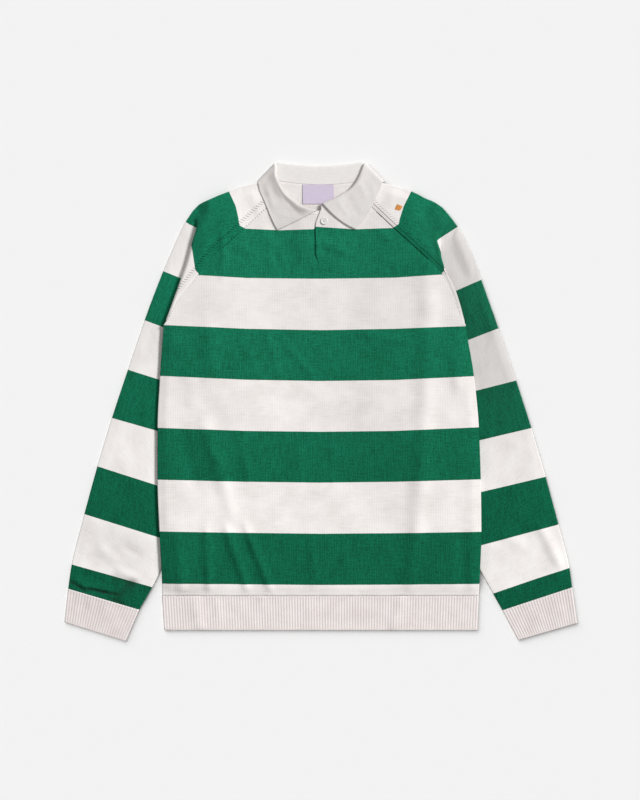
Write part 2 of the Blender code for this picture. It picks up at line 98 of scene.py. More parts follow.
def tube_row(upper, lower, half, curl):
    """One row of a flat tube: from its seam over the upper layer, round the fold and back.

    Each layer is its middle points from fold to seam and the way up from each.
    """
    def sideways(start, end):
        way = (end - start) * (1, 1, 0)
        return way / np.linalg.norm(way)

    def seam_edge(layer, side, turns):
        points, ups = layer
        place, up = points[-1], ups[-1] * side
        out = sideways(points[-2], place)
        edge = []
        for turn in turns:
            flat = up + out * turn - UP * SEAM_DIP * turn
            edge.append(place + half * (flat + (up * np.cos(turn) + out * np.sin(turn) - flat) * curl))
        return edge

    turns = np.radians((86, 60, 30))
    out = sideways(upper[0][1], upper[0][0])
    fold = [
        upper[0][0] + half * (upper[1][0] * np.cos(turn) + out * np.sin(turn))
        for turn in np.radians(np.arange(22.5, 160, 22.5))
    ]
    return np.array([
        *seam_edge(upper, 1, turns), *(upper[0] + upper[1] * half)[::-1],
        *fold, *(lower[0] - lower[1] * half), *seam_edge(lower, -1, turns[::-1]),
    ])


def spread(points, straight=0):
    """Flat lengths across and along a grid; across is 0 on its straight column."""
    steps = np.linalg.norm(np.diff(points, axis=1), axis=-1)
    across = np.concatenate([np.zeros_like(steps[:, :1]), np.cumsum(steps, axis=1)], axis=1)
    across -= across[:, straight:straight + 1]
    down = np.cumsum(np.linalg.norm(np.diff(points, axis=0), axis=-1).mean(axis=1))
    along = np.repeat(np.concatenate([[0], down])[:, None], points.shape[1], axis=1)
    return np.stack([across, along], axis=-1)


def cloth(name, points, wall, uv, gone=None, **values):
    """A grid of cloth through rows of points in millimetres; values are its own attributes."""
    rows, columns = points.shape[:2]
    bm = bmesh.new()
    bmesh.ops.create_grid(bm, x_segments=columns - 1, y_segments=rows - 1, size=1.0)
    if gone is not None:
        middles = [(face, face.calc_center_median()) for face in bm.faces]
        cut = [
            face for face, at in middles
            if gone[int((at.y + 1) / 2 * (rows - 1)), int((at.x + 1) / 2 * (columns - 1))]
        ]
        bmesh.ops.delete(bm, geom=cut, context="FACES")
    mesh = bpy.data.meshes.new(name)
    bm.to_mesh(mesh)
    bm.free()
    place = np.empty(len(mesh.vertices) * 3)
    mesh.vertices.foreach_get("co", place)
    place = place.reshape(-1, 3)
    column = np.rint((place[:, 0] + 1) / 2 * (columns - 1)).astype(int)
    row = np.rint((place[:, 1] + 1) / 2 * (rows - 1)).astype(int)
    mesh.vertices.foreach_set("co", (points[row, column] * MM).ravel())
    corner = np.empty(len(mesh.loops), dtype=np.int32)
    mesh.loops.foreach_get("vertex_index", corner)
    flat = mesh.uv_layers.new(name="cloth")
    flat.data.foreach_set("uv", (uv[row, column][corner] * MM).ravel())
    for key, value in values.items():
        kind = "FLOAT" if value.ndim == 2 else "FLOAT_VECTOR"
        attribute = mesh.attributes.new(key, kind, "POINT")
        attribute.data.foreach_set("value" if value.ndim == 2 else "vector", value[row, column].ravel())
    mesh.polygons.foreach_set("use_smooth", np.ones(len(mesh.polygons), dtype=bool))
    mesh.update()
    made = bpy.data.objects.new(name, mesh)
    bpy.context.scene.collection.objects.link(made)
    solidify = made.modifiers.new("wall", "SOLIDIFY")
    solidify.thickness = wall * MM
    solidify.offset = 0
    solidify.use_quality_normals = True
    return made


class Wire:
    """A value on its way through a material's nodes."""

    def __init__(self, finish, socket):
        self.finish, self.socket = finish, socket

    def maths(self, operation, *others):
        return self.finish.add("ShaderNodeMath", {"operation": operation}, dict(enumerate([self, *others])))

    def __add__(self, other):
        return self.maths("ADD", other)

    def __sub__(self, other):
        return self.maths("SUBTRACT", other)

    def __rsub__(self, other):
        return self.finish.add("ShaderNodeMath", {"operation": "SUBTRACT"}, {0: other, 1: self})

    def __mul__(self, other):
        return self.maths("MULTIPLY", other)

    def __truediv__(self, other):
        return self.maths("DIVIDE", other)

    __radd__, __rmul__ = __add__, __mul__

    def part(self):
        return self.maths("FRACT")

    def size(self):
        return self.maths("ABSOLUTE")

    def ramp(self, low, high):
        """0 below low, 1 above high."""
        return self.finish.add(
            "ShaderNodeMapRange", {"interpolation_type": "SMOOTHSTEP"},
            {"Value": self, "From Min": low, "From Max": high, "To Min": 0.0, "To Max": 1.0},
        )


class Finish:
    """A material whose nodes are added one by one."""

    def __init__(self, name, roughness, **constants):
        self.material = bpy.data.materials.new(name)
        self.material.use_nodes = True
        self.tree = self.material.node_tree
        self.surface = self.tree.nodes["Principled BSDF"]
        self.surface.inputs["Roughness"].default_value = roughness
        for socket, value in constants.items():
            self.surface.inputs[socket.replace("_", " ")].default_value = value

    def add(self, kind, settings, sockets, output=0):
        node = self.tree.nodes.new(kind)
        for name, value in settings.items():
            setattr(node, name, value)
        for key, value in sockets.items():
            self.set(node.inputs[key], value)
        return Wire(self, node.outputs[output])

    def set(self, socket, value):
        if isinstance(value, Wire):
            self.tree.links.new(value.socket, socket)
        else:
            socket.default_value = value

    def split(self, vector):
        parts = self.add("ShaderNodeSeparateXYZ", {}, {0: vector})
        node = parts.socket.node
        return [Wire(self, socket) for socket in node.outputs]

    def join(self, x, y, z=0.0):
        return self.add("ShaderNodeCombineXYZ", {}, {0: x, 1: y, 2: z})

    def noise(self, place, scale, detail=2.0, roughness=0.5):
        sockets = {"Vector": place, "Scale": scale, "Detail": detail, "Roughness": roughness}
        return self.add("ShaderNodeTexNoise", {}, sockets)

    def mix(self, factor, low, high):
        return self.add(
            "ShaderNodeMix", {"data_type": "RGBA"}, {0: factor, 6: low, 7: high}, output=2
        )

    def cloth_place(self):
        """Millimetres across and along the cloth."""
        across, along, _ = self.split(self.add("ShaderNodeUVMap", {"uv_map": "cloth"}, {}))
        return across / MM, along / MM

    def attribute(self, name, output):
        """A value of the cloth's points: output 1 is a vector, 2 a number."""
        return self.add("ShaderNodeAttribute", {"attribute_name": name}, {}, output)

    def finish(self, colour, height, depth, strength=1.0):
        self.set(self.surface.inputs["Base Color"], colour)
        sockets = {"Height": height, "Distance": depth * MM, "Strength": strength}
        bump = self.add("ShaderNodeBump", {}, sockets)
        self.set(self.surface.inputs["Normal"], bump)
        return self.material


def stitches(finish, across, along, wale, course):
    """Height of the wales' V stitches, 0 to 1, and of the wales alone."""
    slope = ((across / wale).part() - 0.5).size() * 2
    wales = 1 - slope * slope
    loop = ((along / course + slope * 0.45).part() - 0.5).size() * 2
    return wales * (1 - loop * 0.35), wales


def ribbed_knit():
    """One yarn, with painted shade between the ribs and from its shade values, and at the linking stitches a
    painted highlight on their heads and painted shade between them.
    """
    finish = Finish("ribbed_knit", 0.95, Specular_IOR_Level=0.15)
    across, along = finish.cloth_place()
    place = finish.join(across, along)
    groove = finish.attribute("groove", 2)
    height, _ = stitches(finish, across, along, RIB_WALE, COURSE)
    fuzz = finish.noise(place, 0.6, 3.0, 0.7)
    uneven = (finish.noise(place, 0.05, 2.0) - 0.5) * 0.7 + (finish.noise(place, 0.4, 2.0) - 0.5) * 0.5
    # painted shade between the ribs and from the shade values, with random tone of the yarn
    tone = groove * 0.42 + (fuzz - 0.5) * 0.9 + uneven + finish.attribute("shade", 2)
    colour = finish.mix(tone, RIB_WHITE, RIB_SHADE)
    # along the linking seam: a painted highlight on the stitch heads and painted shade between them
    linked = finish.attribute("linked", 2)
    shade_between_heads = ((across / 3.1).part() - 0.5).size().ramp(0.1, 0.34)
    colour = finish.mix(linked, colour, finish.mix(shade_between_heads * 0.7, (1.0, 0.98, 0.96, 1), (0.50, 0.44, 0.42, 1)))
    return finish.finish(colour, height * 0.3 + fuzz * 0.4, 0.3)


def build_rib(name, node, top, bottom, pitch, tone):
    """A ribbed tube between the outer and inner ends of its top and bottom lines; tone is painted shade over
    all of it.
    """
    (outer_top, inner_top), (outer_low, inner_low) = np.array(top, float), np.array(bottom, float)
    width = np.linalg.norm(inner_top - outer_top)
    ribs = round(width / pitch)
    shares = np.linspace(0, 1, ribs * 6 + 1)
    rows, grooves = [], []
    steps = np.concatenate([[0, 0.02, 0.05], np.linspace(0.1, 0.93, 12), [0.97, 1]])
    for step in steps:
        outer = outer_top + (outer_low - outer_top) * step
        inner = inner_top + (inner_low - inner_top) * step
        way = (inner - outer) / np.linalg.norm(inner - outer)
        start, end = outer + way * (RIB_HALF + RIB / 2), inner - way * (RIB_HALF + RIB / 2)
        flat = start + (end - start) * shares[:, None]
        deep = ease(step / 0.03 + 0.2) * ease((1 - step) / 0.06)
        wave = np.cos(2 * np.pi * shares * ribs)
        relief = 0.3 * deep * wave + creased(RIB_FOLDS, flat[:, 0], flat[:, 1]) * deep
        relief = relief + 0.5 * ease(1 - abs(step - 0.02) / 0.05)
        middle = np.column_stack([flat, np.full(len(flat), RIB + 0.5)])
        up = np.repeat(UP[None], len(flat), axis=0)
        upper = (middle + UP * (0.3 + relief)[:, None], up)
        lower = (middle - UP * (0.3 * deep * wave - 0.1)[:, None], up)
        row = tube_row(upper, lower, RIB_HALF, 1.0)
        rows.append(row)
        # how deep between two ribs each point lies, which sets its painted shade
        groove = np.zeros(len(row))
        groove[3:3 + len(shares)] = ((1 - wave) / 2 * deep)[::-1]
        groove[-3 - len(shares):-3] = (1 - wave) / 2 * deep
        grooves.append(groove)
    points = np.array(rows)
    # the rows of the linking seam, which get its painted highlight and shade
    linked = np.repeat((steps < 0.045)[:, None] * 1.0, points.shape[1], axis=1)
    # painted shade: the tube's tone everywhere, and the listed rib shades
    shade = tone + creased(RIB_SHADES, points[..., 0], points[..., 1])
    rib = cloth(name, points, RIB, spread(points), groove=np.array(grooves), linked=linked, shade=shade)
    rib.data.materials.append(ribbed)
    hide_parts(node)
    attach(rib, "root")
    return rib


ribbed = ribbed_knit()
build_rib(
    "hem_band", "hem_rib",
    ((-257, HEM_TOP), (256, HEM_TOP)), ((-253.5, -371), (253.5, -371)), RIB_PITCH, 0.08,
)
build_rib(
    "cuff_left_band", "cuff_left",
    ((-409, -304), (-294, -338)), ((-415, -358), (-316, -389)), CUFF_PITCH, 0.24,
)
build_rib(
    "cuff_right_band", "cuff_right",
    ((407, -301.8), (294, -339)), ((415, -359.5), (319.5, -387)), CUFF_PITCH, 0.18,
)


# Back panel
# Plain-knit cotton in green and white stripes, seen inside the neck and from below. It is
# linked to the hem rib, the front and the sleeves, and rises softly over what lies beneath it:
# the sleeves' turned-down tops and the collar's back leaf.

JERSEY = 1.5
HALF = 1.0  # from the middle between two layers to the middle of each
FLAT = 1.8  # height of that middle where two layers lie on the floor
FOLD = 1.8  # from that middle's edge to the outside of a folded edge
PLEAT_LIFT, SLEEVE_LIFT, COLLAR_LIFT = 8.0, 6.5, 2.8
LEVEL_MARGIN, COME_DOWN = 8, 120  # level this far past a sleeve beneath, then down over this
PLEAT_LEFT = (
    (-207, 308), (-198, 296), (-201, 280), (-206, 264), (-210, 249), (-217.5, 222), (-226, 198),
    (-254, 121),
)
PLEAT_RIGHT = ((208, 301), (198, 284), (190, 262), (194, 238), (202, 212), (218, 180), (236, 118))
PLEAT_RISE_LEFT, PLEAT_RISE_RIGHT = (8, 22), (30, 42)  # from its top: flat this far, then rising
TUCK_LEFT, TUCK_RIGHT = (-142, 5), (136, 5)
SLEEVE_ENDS_LEFT = ((-383, -184), (-256, -268))
SLEEVE_ENDS_RIGHT = ((385, -200), (256, -270))
BACK_LEAF = ((-104, 388), (104, 388), (104, 336), (-104, 336))

SIDE_SEAMS = (
    (-315.7, -257, 256), (-294, -257, 257), (-212, -261, 260), (-128, -264, 259),
    (-44, -264, 256), (40, -260, 248), (121, -254, 234),
)
RAGLAN_LEFT_BACK = (
    (-229, 158), (-204, 192), (-175.7, 230), (-158, 247), (-122, 279), (-91, 314), (-70, 357),
)
RAGLAN_RIGHT_BACK = (
    (211.5, 166), (189, 212), (168.5, 232), (147, 252), (116, 280), (85, 316), (68, 357),
)
BACK_NECK = (((-70, 360), (-54, 358), (-27, 355), (0, 354), (27, 355), (54, 358), (68, 360)),)
PANEL_STEP, RAGLAN_ROWS, BACK_COLUMNS = 3.6, 63, 90
SEAM_GAP = -0.6
CURL_FROM, UNDERARM_CURL = 100, 0.6  # a side seam opens from here up, to this share at the underarm
EDGE_TURNS = np.radians((30, 60, 88))

STRIPE = 82.0  # depth of a stripe past the first and last lines
STRIPES = (
    (
        (-260, 284), (-122, 279), (-66, 276.7), (-10, 278.4), (-9, 282.3), (20, 280.5), (56, 278.2),
        (116, 280), (260, 284),
    ),
    ((-260, 206), (-195, 203), (-120, 198.5), (0, 197.5), (120, 199), (195, 204), (250, 206)),
    ((-260, 123.5), (-120, 117), (0, 115), (120, 117), (250, 122)),
    ((-264, 40.5), (-120, 34), (0, 32), (120, 33.5), (252, 40)),
    ((-264, -43), (-120, -48), (0, -49.5), (120, -48), (258, -42)),
    ((-264, -127.5), (-120, -131), (0, -132.5), (120, -131), (260, -127)),
    ((-264, -210.5), (-120, -213), (0, -214.5), (120, -213.5), (260, -211)),
    ((-264, -295.5), (-120, -297), (0, -298), (120, -297.5), (260, -296)),
)
WALE, MARK_PITCH = 2.8, 4.7
BODY_YARNS = dict(
    green=(0.0105, 0.225, 0.122, 1), green_deep=(0.0035, 0.105, 0.052, 1),
    low_green=(0.0045, 0.153, 0.078, 1), low_green_deep=(0.0015, 0.068, 0.028, 1),
    white=(0.85, 0.812, 0.79, 1), low_white=(0.975, 0.93, 0.905, 1), white_shade=(0.60, 0.555, 0.53, 1),
)


def beyond(outline, x, y):
    """How far places lie outside a convex outline, 0 inside."""
    turn = sum(a[0] * b[1] - b[0] * a[1] for a, b in zip(outline, outline[1:] + outline[:1]))
    near, inside = np.inf, True
    for (ax, ay), (bx, by) in zip(outline, outline[1:] + outline[:1]):
        dx, dy = bx - ax, by - ay
        share = np.clip(((x - ax) * dx + (y - ay) * dy) / (dx * dx + dy * dy), 0, 1)
        near = np.minimum(near, np.hypot(x - ax - share * dx, y - ay - share * dy))
        inside = inside & ((dx * (y - ay) - dy * (x - ax)) * turn >= 0)
    return np.where(inside, 0.0, near)


def pile(x, y, pleat, tuck, sleeve_ends, rise):
    """Height of one turned-down sleeve under the body, rising from the pleat's top."""
    folded = beyond((pleat[1], pleat[-1], tuck), x, y)
    sleeve = beyond((pleat[1], *sleeve_ends, tuck), x, y)
    height = np.maximum(
        PLEAT_LIFT * (1 - ease((folded - LEVEL_MARGIN) / COME_DOWN)),
        SLEEVE_LIFT * (1 - ease((sleeve - LEVEL_MARGIN) / COME_DOWN)),
    )
    opening = ease((np.hypot(x - pleat[0][0], y - pleat[0][1]) - rise[0]) / rise[1])
    return height * opening * ease((y - HEM_TOP) / 30)


def lift(x, y):
    left = pile(x, y, PLEAT_LEFT, TUCK_LEFT, SLEEVE_ENDS_LEFT, PLEAT_RISE_LEFT)
    right = pile(x, y, PLEAT_RIGHT, TUCK_RIGHT, SLEEVE_ENDS_RIGHT, PLEAT_RISE_RIGHT)
    neck = COLLAR_LIFT * (1 - ease((beyond(BACK_LEAF, x, y) - 10) / 60))
    return np.maximum(neck, np.where(x < 0, left, right))


def back_height(x, y):
    return lift(x, y) + FLAT - HALF


def through(knots, values, at):
    """Smooth curve through values at rising knots, with no overshoot."""
    knots, values, at = np.asarray(knots, float), np.asarray(values, float), np.asarray(at, float)
    beside = (1,) * (values.ndim - 1)
    steps = np.diff(knots).reshape((-1, *beside))
    rise = np.diff(values, axis=0) / steps
    a, b = rise[:-1], rise[1:]
    to_a, to_b = steps[:-1] + 2 * steps[1:], 2 * steps[:-1] + steps[1:]
    with np.errstate(divide="ignore", invalid="ignore"):
        bend = np.where(a * b > 0, (to_a + to_b) / (to_a / a + to_b / b), 0)
    slope = np.concatenate([rise[:1], bend, rise[-1:]])
    i = np.clip(np.searchsorted(knots, at, "right") - 1, 0, len(knots) - 2)
    h = (knots[i + 1] - knots[i]).reshape((*at.shape, *beside))
    t = ((at - knots[i]) / (knots[i + 1] - knots[i])).reshape((*at.shape, *beside))
    u = 1 - t
    low, high = values[i], values[i + 1]
    return (
        low * u * u * (1 + 2 * t) + high * t * t * (1 + 2 * u)
        + h * slope[i] * t * u * u - h * slope[i + 1] * t * t * u
    )


def row_ends(left_seam, right_seam, level_to):
    """Ends of each row of a panel from hem to neck, how far its side curls, and its sag.

    Rows run level up to this one of the raglan seams' points, then dip towards the neckline.
    """
    levels, lefts, rights = zip(*SIDE_SEAMS)
    up = np.linspace(levels[0], levels[-1], int((levels[-1] - levels[0]) / PANEL_STEP))
    left = np.stack([through(levels, lefts, up) + FOLD, up], axis=1)
    right = np.stack([through(levels, rights, up) - FOLD, up], axis=1)
    opening = (up - CURL_FROM) / (levels[-1] - CURL_FROM) * (1 - UNDERARM_CURL)
    curl = np.clip(1 - opening, UNDERARM_CURL, 1)
    knots = np.arange(len(left_seam) + 1)
    on = np.linspace(0, knots[-1], RAGLAN_ROWS + 1)[1:]
    seam_left = through(knots, [(lefts[-1], levels[-1]), *left_seam], on)
    seam_right = through(knots, [(rights[-1], levels[-1]), *right_seam], on)
    inset = np.array((1, 0)) * (SEAM_GAP + HALF * np.clip(2 - on, 0, 1))[:, None]
    left = np.concatenate([left, seam_left + inset])
    right = np.concatenate([right, seam_right - inset])
    curl = np.concatenate([curl, np.clip(UNDERARM_CURL * (1 - on), 0, 1)])
    sag = np.concatenate([np.zeros(len(up)), ease((on - level_to) / (knots[-1] - level_to))])
    return left, right, curl, sag


def panel(left_seam, right_seam, level_to, neck, shares, height, layer, split=None):
    """Points of a body panel; each side curls to its side seam and lies flat at a raglan."""
    left, right, curl, sag = row_ends(left_seam, right_seam, level_to)
    x = left[:, :1] + (right[:, :1] - left[:, :1]) * shares
    y = left[:, 1:] + (right[:, 1:] - left[:, 1:]) * shares
    if split is not None:
        x = split(x, y)
    level = neck[0][0][1] + (neck[-1][-1][1] - neck[0][0][1]) * shares
    under = []
    for (neck_x, neck_y), part in zip([zip(*line) for line in neck], np.split(x, len(neck), axis=1)):
        under.append(through(neck_x, neck_y, np.clip(part, neck_x[0], neck_x[-1])))
    y = y - (level - np.concatenate(under, axis=1)) * sag[:, None]
    z = height(x, y)
    points = np.stack([x, y, z], axis=-1)
    sides = []
    for end, way in ((points[:, :1], -1), (points[:, -1:], 1)):
        edge = []
        for turn in EDGE_TURNS:
            flat = np.array((way * turn, 0, 0)) * np.ones_like(end)
            round_it = np.array((way * np.sin(turn), 0, layer * (np.cos(turn) - 1))) * np.ones_like(end)
            edge.append(end + HALF * (flat + (round_it - flat) * curl[:, None, None]))
        sides.append(edge)
    return np.concatenate([*sides[0][::-1], points, *sides[1]], axis=1)


def between(lines, along, across):
    """Which stripe a place is in: n on the n-th line, n.5 halfway to the next.

    Each line is a table of across and along; along falls from line to line.
    """
    levels = np.array([np.interp(across, *zip(*line)) for line in lines])
    band = np.full(np.shape(along), -1.0)
    first, last = levels[0], levels[-1]
    band = np.where(along > first, (first - along) / STRIPE, band)
    for n, (high, low) in enumerate(zip(levels, levels[1:])):
        band = np.where((along <= high) & (along > low), n + (high - along) / (high - low), band)
    return np.where(along <= last, len(lines) - 1 + (last - along) / STRIPE, band)


def body_bands(x, y):
    return between(STRIPES, y, x)


def no_marks(points):
    return np.zeros_like(points)


def striped_knit(name, yarns):
    """Green and white stripes from the cloth's own band values, with dents and painted shade by its raglan
    seams, and painted shade from its shade values.
    """
    finish = Finish(name, 0.95, Specular_IOR_Level=0.12)
    across, along = finish.cloth_place()
    place = finish.join(across, along)
    height, wales = stitches(finish, across, along, WALE, COURSE)
    band = finish.attribute("band", 2) + (finish.noise(place, 0.45, 1.0) - 0.5) * 0.008
    green = (1 - ((band / 2).part() - 0.5).ramp(-0.004, 0.0)) * (band / 2).part().ramp(0.0, 0.004)
    _, up, _ = finish.split(finish.add("ShaderNodeTexCoord", {}, {}, output=3))
    low = 1 - up.ramp(-0.36, 0.42)
    cloud = finish.noise(place, 0.022, 4.0, 0.6)
    speck = finish.noise(place, 0.42, 3.0, 0.7)
    yarn = finish.noise(finish.join(across * 0.42, along * 0.045), 1.0, 3.0, 0.6)
    course = finish.noise(finish.join(across * 0.05, along * 0.5), 1.0, 3.0, 0.6)
    slub = finish.noise(finish.join(across * 0.035, along * 0.55), 1.0, 4.0, 0.65)
    # (1 - height) paints shade on the low parts of the stitches, less on the white; the other terms are
    # random tone of the yarn
    green_tone = (1 - height) * 0.25 + (yarn - 0.5) * 1.5 + (course - 0.5) * 1.3
    green_tone = green_tone + (speck - 0.5) * 2.6 + (cloud - 0.5) * 0.6 + 0.30
    streak = slub.ramp(0.56, 0.70) * cloud.ramp(0.42, 0.62)
    white_tone = (1 - height) * 0.06 + (slub - 0.5) * 0.5 + (cloud - 0.5) * 0.9 + (speck - 0.5) * 0.25
    white_tone = white_tone + streak * 0.22 + 0.22
    green_light = finish.mix(low, yarns["green"], yarns["low_green"])
    green_dark = finish.mix(low, yarns["green_deep"], yarns["low_green_deep"])
    green_yarn = finish.mix(green_tone, green_light, green_dark)
    white_light = finish.mix(low, yarns["white"], yarns["low_white"])
    white_yarn = finish.mix(white_tone, white_light, yarns["white_shade"])
    colour = finish.mix(green, white_yarn, green_yarn)
    # along the left seam: small holes, and slanted dashes beside them, pressed in and painted darker as
    # their shade; the right one is a raised welt painted darker as shade, with pressed lines of painted shade
    # along both edges
    run, away, kind = finish.split(finish.attribute("seam", 1))
    left, right = kind.ramp(0.0, 1.0), (kind * -1).ramp(0.0, 1.0)
    dash = (((run + away * 0.6) / MARK_PITCH).part() - 0.5).size().ramp(0.26, 0.42)
    hole = ((run / MARK_PITCH).part() - 0.5).size().ramp(0.24, 0.40)
    hole = hole * (1 - (away - 0.9).size().ramp(0.5, 1.5))
    feather = dash * (1 - (away - 13).size().ramp(1.6, 3.4)) * left
    tuft = dash * (1 - (away - 11.5).size().ramp(1.2, 3.0)) * right
    close = 1 - (away - 0.4).size().ramp(0.7, 2.2)
    outer = 1 - (away - 7.0).size().ramp(0.4, 1.6)
    welt = away.ramp(0.4, 2.4) * (1 - away.ramp(5.2, 7.0)) * right
    marks = hole * left * 1.2 + feather * (0.6 + green * 0.3) + tuft * 0.4 + (close + outer * 0.75) * right
    # painted shade in the holes, dashes and edge lines, and over the welt
    seam_shade = (marks + welt * 0.35) * 0.85
    colour = finish.mix(seam_shade, colour, finish.mix(green, (0.46, 0.40, 0.37, 1), yarns["green_deep"]))
    # painted shade from the cloth's shade values
    colour = finish.mix(finish.attribute("shade", 2), colour, (0.01, 0.01, 0.01, 1))
    relief = height * (0.25 + green * 0.25) + slub * (0.4 - green * 0.3)
    relief = relief + yarn * 0.4 + speck * (0.3 + green * 0.5)
    relief = relief - marks * 2.4 + welt * 2.2 + away.ramp(1.5, 5.0) * (1 - away.ramp(6.0, 10.0)) * left * 1.2
    return finish.finish(colour, relief, 0.42)


striped = striped_knit("striped_knit", BODY_YARNS)
back_points = panel(
    RAGLAN_LEFT_BACK, RAGLAN_RIGHT_BACK, 1, BACK_NECK, np.linspace(0, 1, BACK_COLUMNS), back_height, -1,
)
back = cloth(
    "back_panel", back_points, JERSEY, back_points[..., :2],
    band=body_bands(back_points[..., 0], back_points[..., 1]), seam=no_marks(back_points),
)
back.data.materials.append(striped)
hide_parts("back_body")
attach(back, "root")


# Front panel
# The same striped knit. Its placket is a slit from the neckline whose right side laps over the
# left, and soft folds run down it where it was laid out.

SLIT_LINE = (
    (222, -2), (232, -6.5), (244, -8.6), (262, -8.4), (280, -9), (294, -8.2), (305, -4.6), (319, 0.6),
)
SLIT_FOOT = 224
SLIT_EASE = 0.2  # how far its upper edge lies past the line
LAP = 2.5
STRIP_LEFT, STRIP_RIGHT, STRIP_BOTTOM, STRIP_TOP = -20, 16, 232, 298
STRIP_RISE, NECK_RISE, NECK_MIDDLE = 2, 2, 330
RAGLAN_LEFT = (
    (-245.5, 132), (-229, 162), (-204, 193), (-175.7, 230), (-158, 247), (-122, 279), (-92, 307),
    (-75, 322),
)
RAGLAN_RIGHT = (
    (229, 131), (214, 166), (191, 210), (168.5, 232), (147, 252), (116, 280), (82, 312), (66, 327),
)
FRONT_NECK = (
    ((-75, 322), (-57, 308.5), (-36, 302), (-14, 303.5), (-5, 308)),
    ((-2, 316.5), (8, 316), (19, 312), (34, 313), (52, 319), (66, 327)),
)
COLLAR_REACH = ((-110, 392), (110, 392), (95, 320), (57, 272), (-70, 272))
FRONT_FOLDS = (
    (174, 250, 172, 150, 15, 2.2), (175, 165, 170, 50, 17, 3.2), (172, 60, 164, -90, 16, 3.6),
    (165, -75, 155, -215, 14, 3.4), (155, -200, 143, -310, 12, 3.0), (218, 85, 222, 15, 10, 2.8),
    (-188, -38, -158, -132, 12, 4.9), (-222, -55, -206, -130, 11, -2.5),
    (-128, -62, -118, -128, 6, 2.2),
    (-158, -130, -142, -192, 11, 2.3), (-38, -60, -34, -125, 7, 1), (18, -50, 19, -130, 5, 1),
    (-185, -205, -180, -312, 7, 3.8), (-154, -203, -118, -308, 6.5, 4.3),
    (-122, -203, -80, -308, 6, 4.3),
    (-232, -215, -224, -318, 9, 3.2), (-16, -215, -12, -298, 7, 1.7), (38, -225, 42, -290, 6, 1.2),
    (229, -212, 231, -302, 10, -2.8), (-178, 122, -176, 36, 16, 3.5), (-88, 112, -65, 34, 6, 1.4),
    (-60, 97, -8, 34, 6, 1.6), (-124, 90, -99, 36, 6, 1.3), (62, 109, 142, 95, 6, 1.9),
    (-158, 270, -157, 200, 6, 2.5), (-127, 275, -130, 240, 9, 1.7), (-84, 262, -80, 212, 9, 2),
    (2, 261, 47, 238, 8, 2.4), (-70, 262, -60, 225, 8, 1.6), (92, 276, 112, 262, 7, 1.6),
    (0, 243, 12, 243, 5, -1.3),
    (-215, 60, -205, -20, 12, 1), (-40, 20, 10, 12, 10, 0.6), (40, 15, 120, 8, 9, -0.6),
    (-20, -140, 60, -146, 9, 0.6), (-110, 10, -40, 2, 8, -0.6), (60, -230, 120, -240, 10, 0.7),
)
FRONT_EASE = 3.0  # how far the front stands off the back between its folds
HALF_COLUMNS = 76


def front_height(x, y):
    """The front also rises over the placket's strip, and off the back round the neck."""
    past_strip = np.maximum(np.maximum(STRIP_LEFT - x, x - STRIP_RIGHT), np.maximum(STRIP_BOTTOM - y, 0))
    strip = STRIP_RISE * (1 - ease((past_strip - 9) / 22))
    neck = NECK_RISE * (1 - ease((np.hypot(x, y - NECK_MIDDLE) - 60) / 60))
    return lift(x, y) + FLAT + HALF + strip + neck


def slit_line(y):
    levels, across = zip(*SLIT_LINE)
    return through(levels, across, np.clip(y, levels[0], levels[-1]))


def split_placket(x, y):
    """Columns on each side of the slit, the two middle ones along its edges."""
    middle = x.shape[1] // 2
    slit = slit_line(y)
    under = SLIT_EASE - (LAP + SLIT_EASE) * ease((y - SLIT_FOOT) / 12)
    share = np.linspace(0, 1, middle)
    return np.concatenate([
        x[:, :1] + (slit[:, :middle] - under[:, :middle] - x[:, :1]) * share,
        slit[:, middle:] + SLIT_EASE + (x[:, -1:] - slit[:, middle:] - SLIT_EASE) * share,
    ], axis=1)


def front_lie(x, y):
    """Height of the front with its folds, and of the lap beside the slit."""
    side = np.minimum(x - x[:, :1], x[:, -1:] - x) + 60 * ease((y - 118) / 20)
    calm = ease((y - HEM_TOP) / 16) * ease((side + 2) / 16) * ease(beyond(COLLAR_REACH, x, y) / 22)
    fold = (FRONT_EASE + creased(FRONT_FOLDS, x, y)) * calm
    off = x - slit_line(y)
    over = np.arange(x.shape[1]) >= x.shape[1] // 2
    lap_over = 1.3 * np.exp(-(np.abs(off) / 11) ** 1.5)
    lap_under = -0.8 * np.exp(-(np.abs(off - LAP) / 9) ** 1.5)
    lap = np.where(over, lap_over, lap_under)
    return front_height(x, y) + fold + lap * ease((y - SLIT_FOOT) / 18)


front_points = panel(
    RAGLAN_LEFT, RAGLAN_RIGHT, 2, FRONT_NECK, np.linspace(0, 1, 2 * HALF_COLUMNS), front_lie, 1,
    split_placket,
)
slit_cells = np.zeros((front_points.shape[0] - 1, front_points.shape[1] - 1), dtype=bool)
slit_cells[:, HALF_COLUMNS + 2] = front_points[1:, HALF_COLUMNS + 2, 1] > SLIT_FOOT
front = cloth(
    "front_panel", front_points, JERSEY, front_points[..., :2], slit_cells,
    band=body_bands(front_points[..., 0], front_points[..., 1]), seam=no_marks(front_points),
)
front.data.materials.append(striped)
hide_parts("front_body")
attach(front, "root")


# Sleeves
# Two raglan sleeves of the same knit, linked to the panels from neck to underarm. Each is one
# flat tube: it lies out over the shoulder, folds down at its pleat and runs under the body.

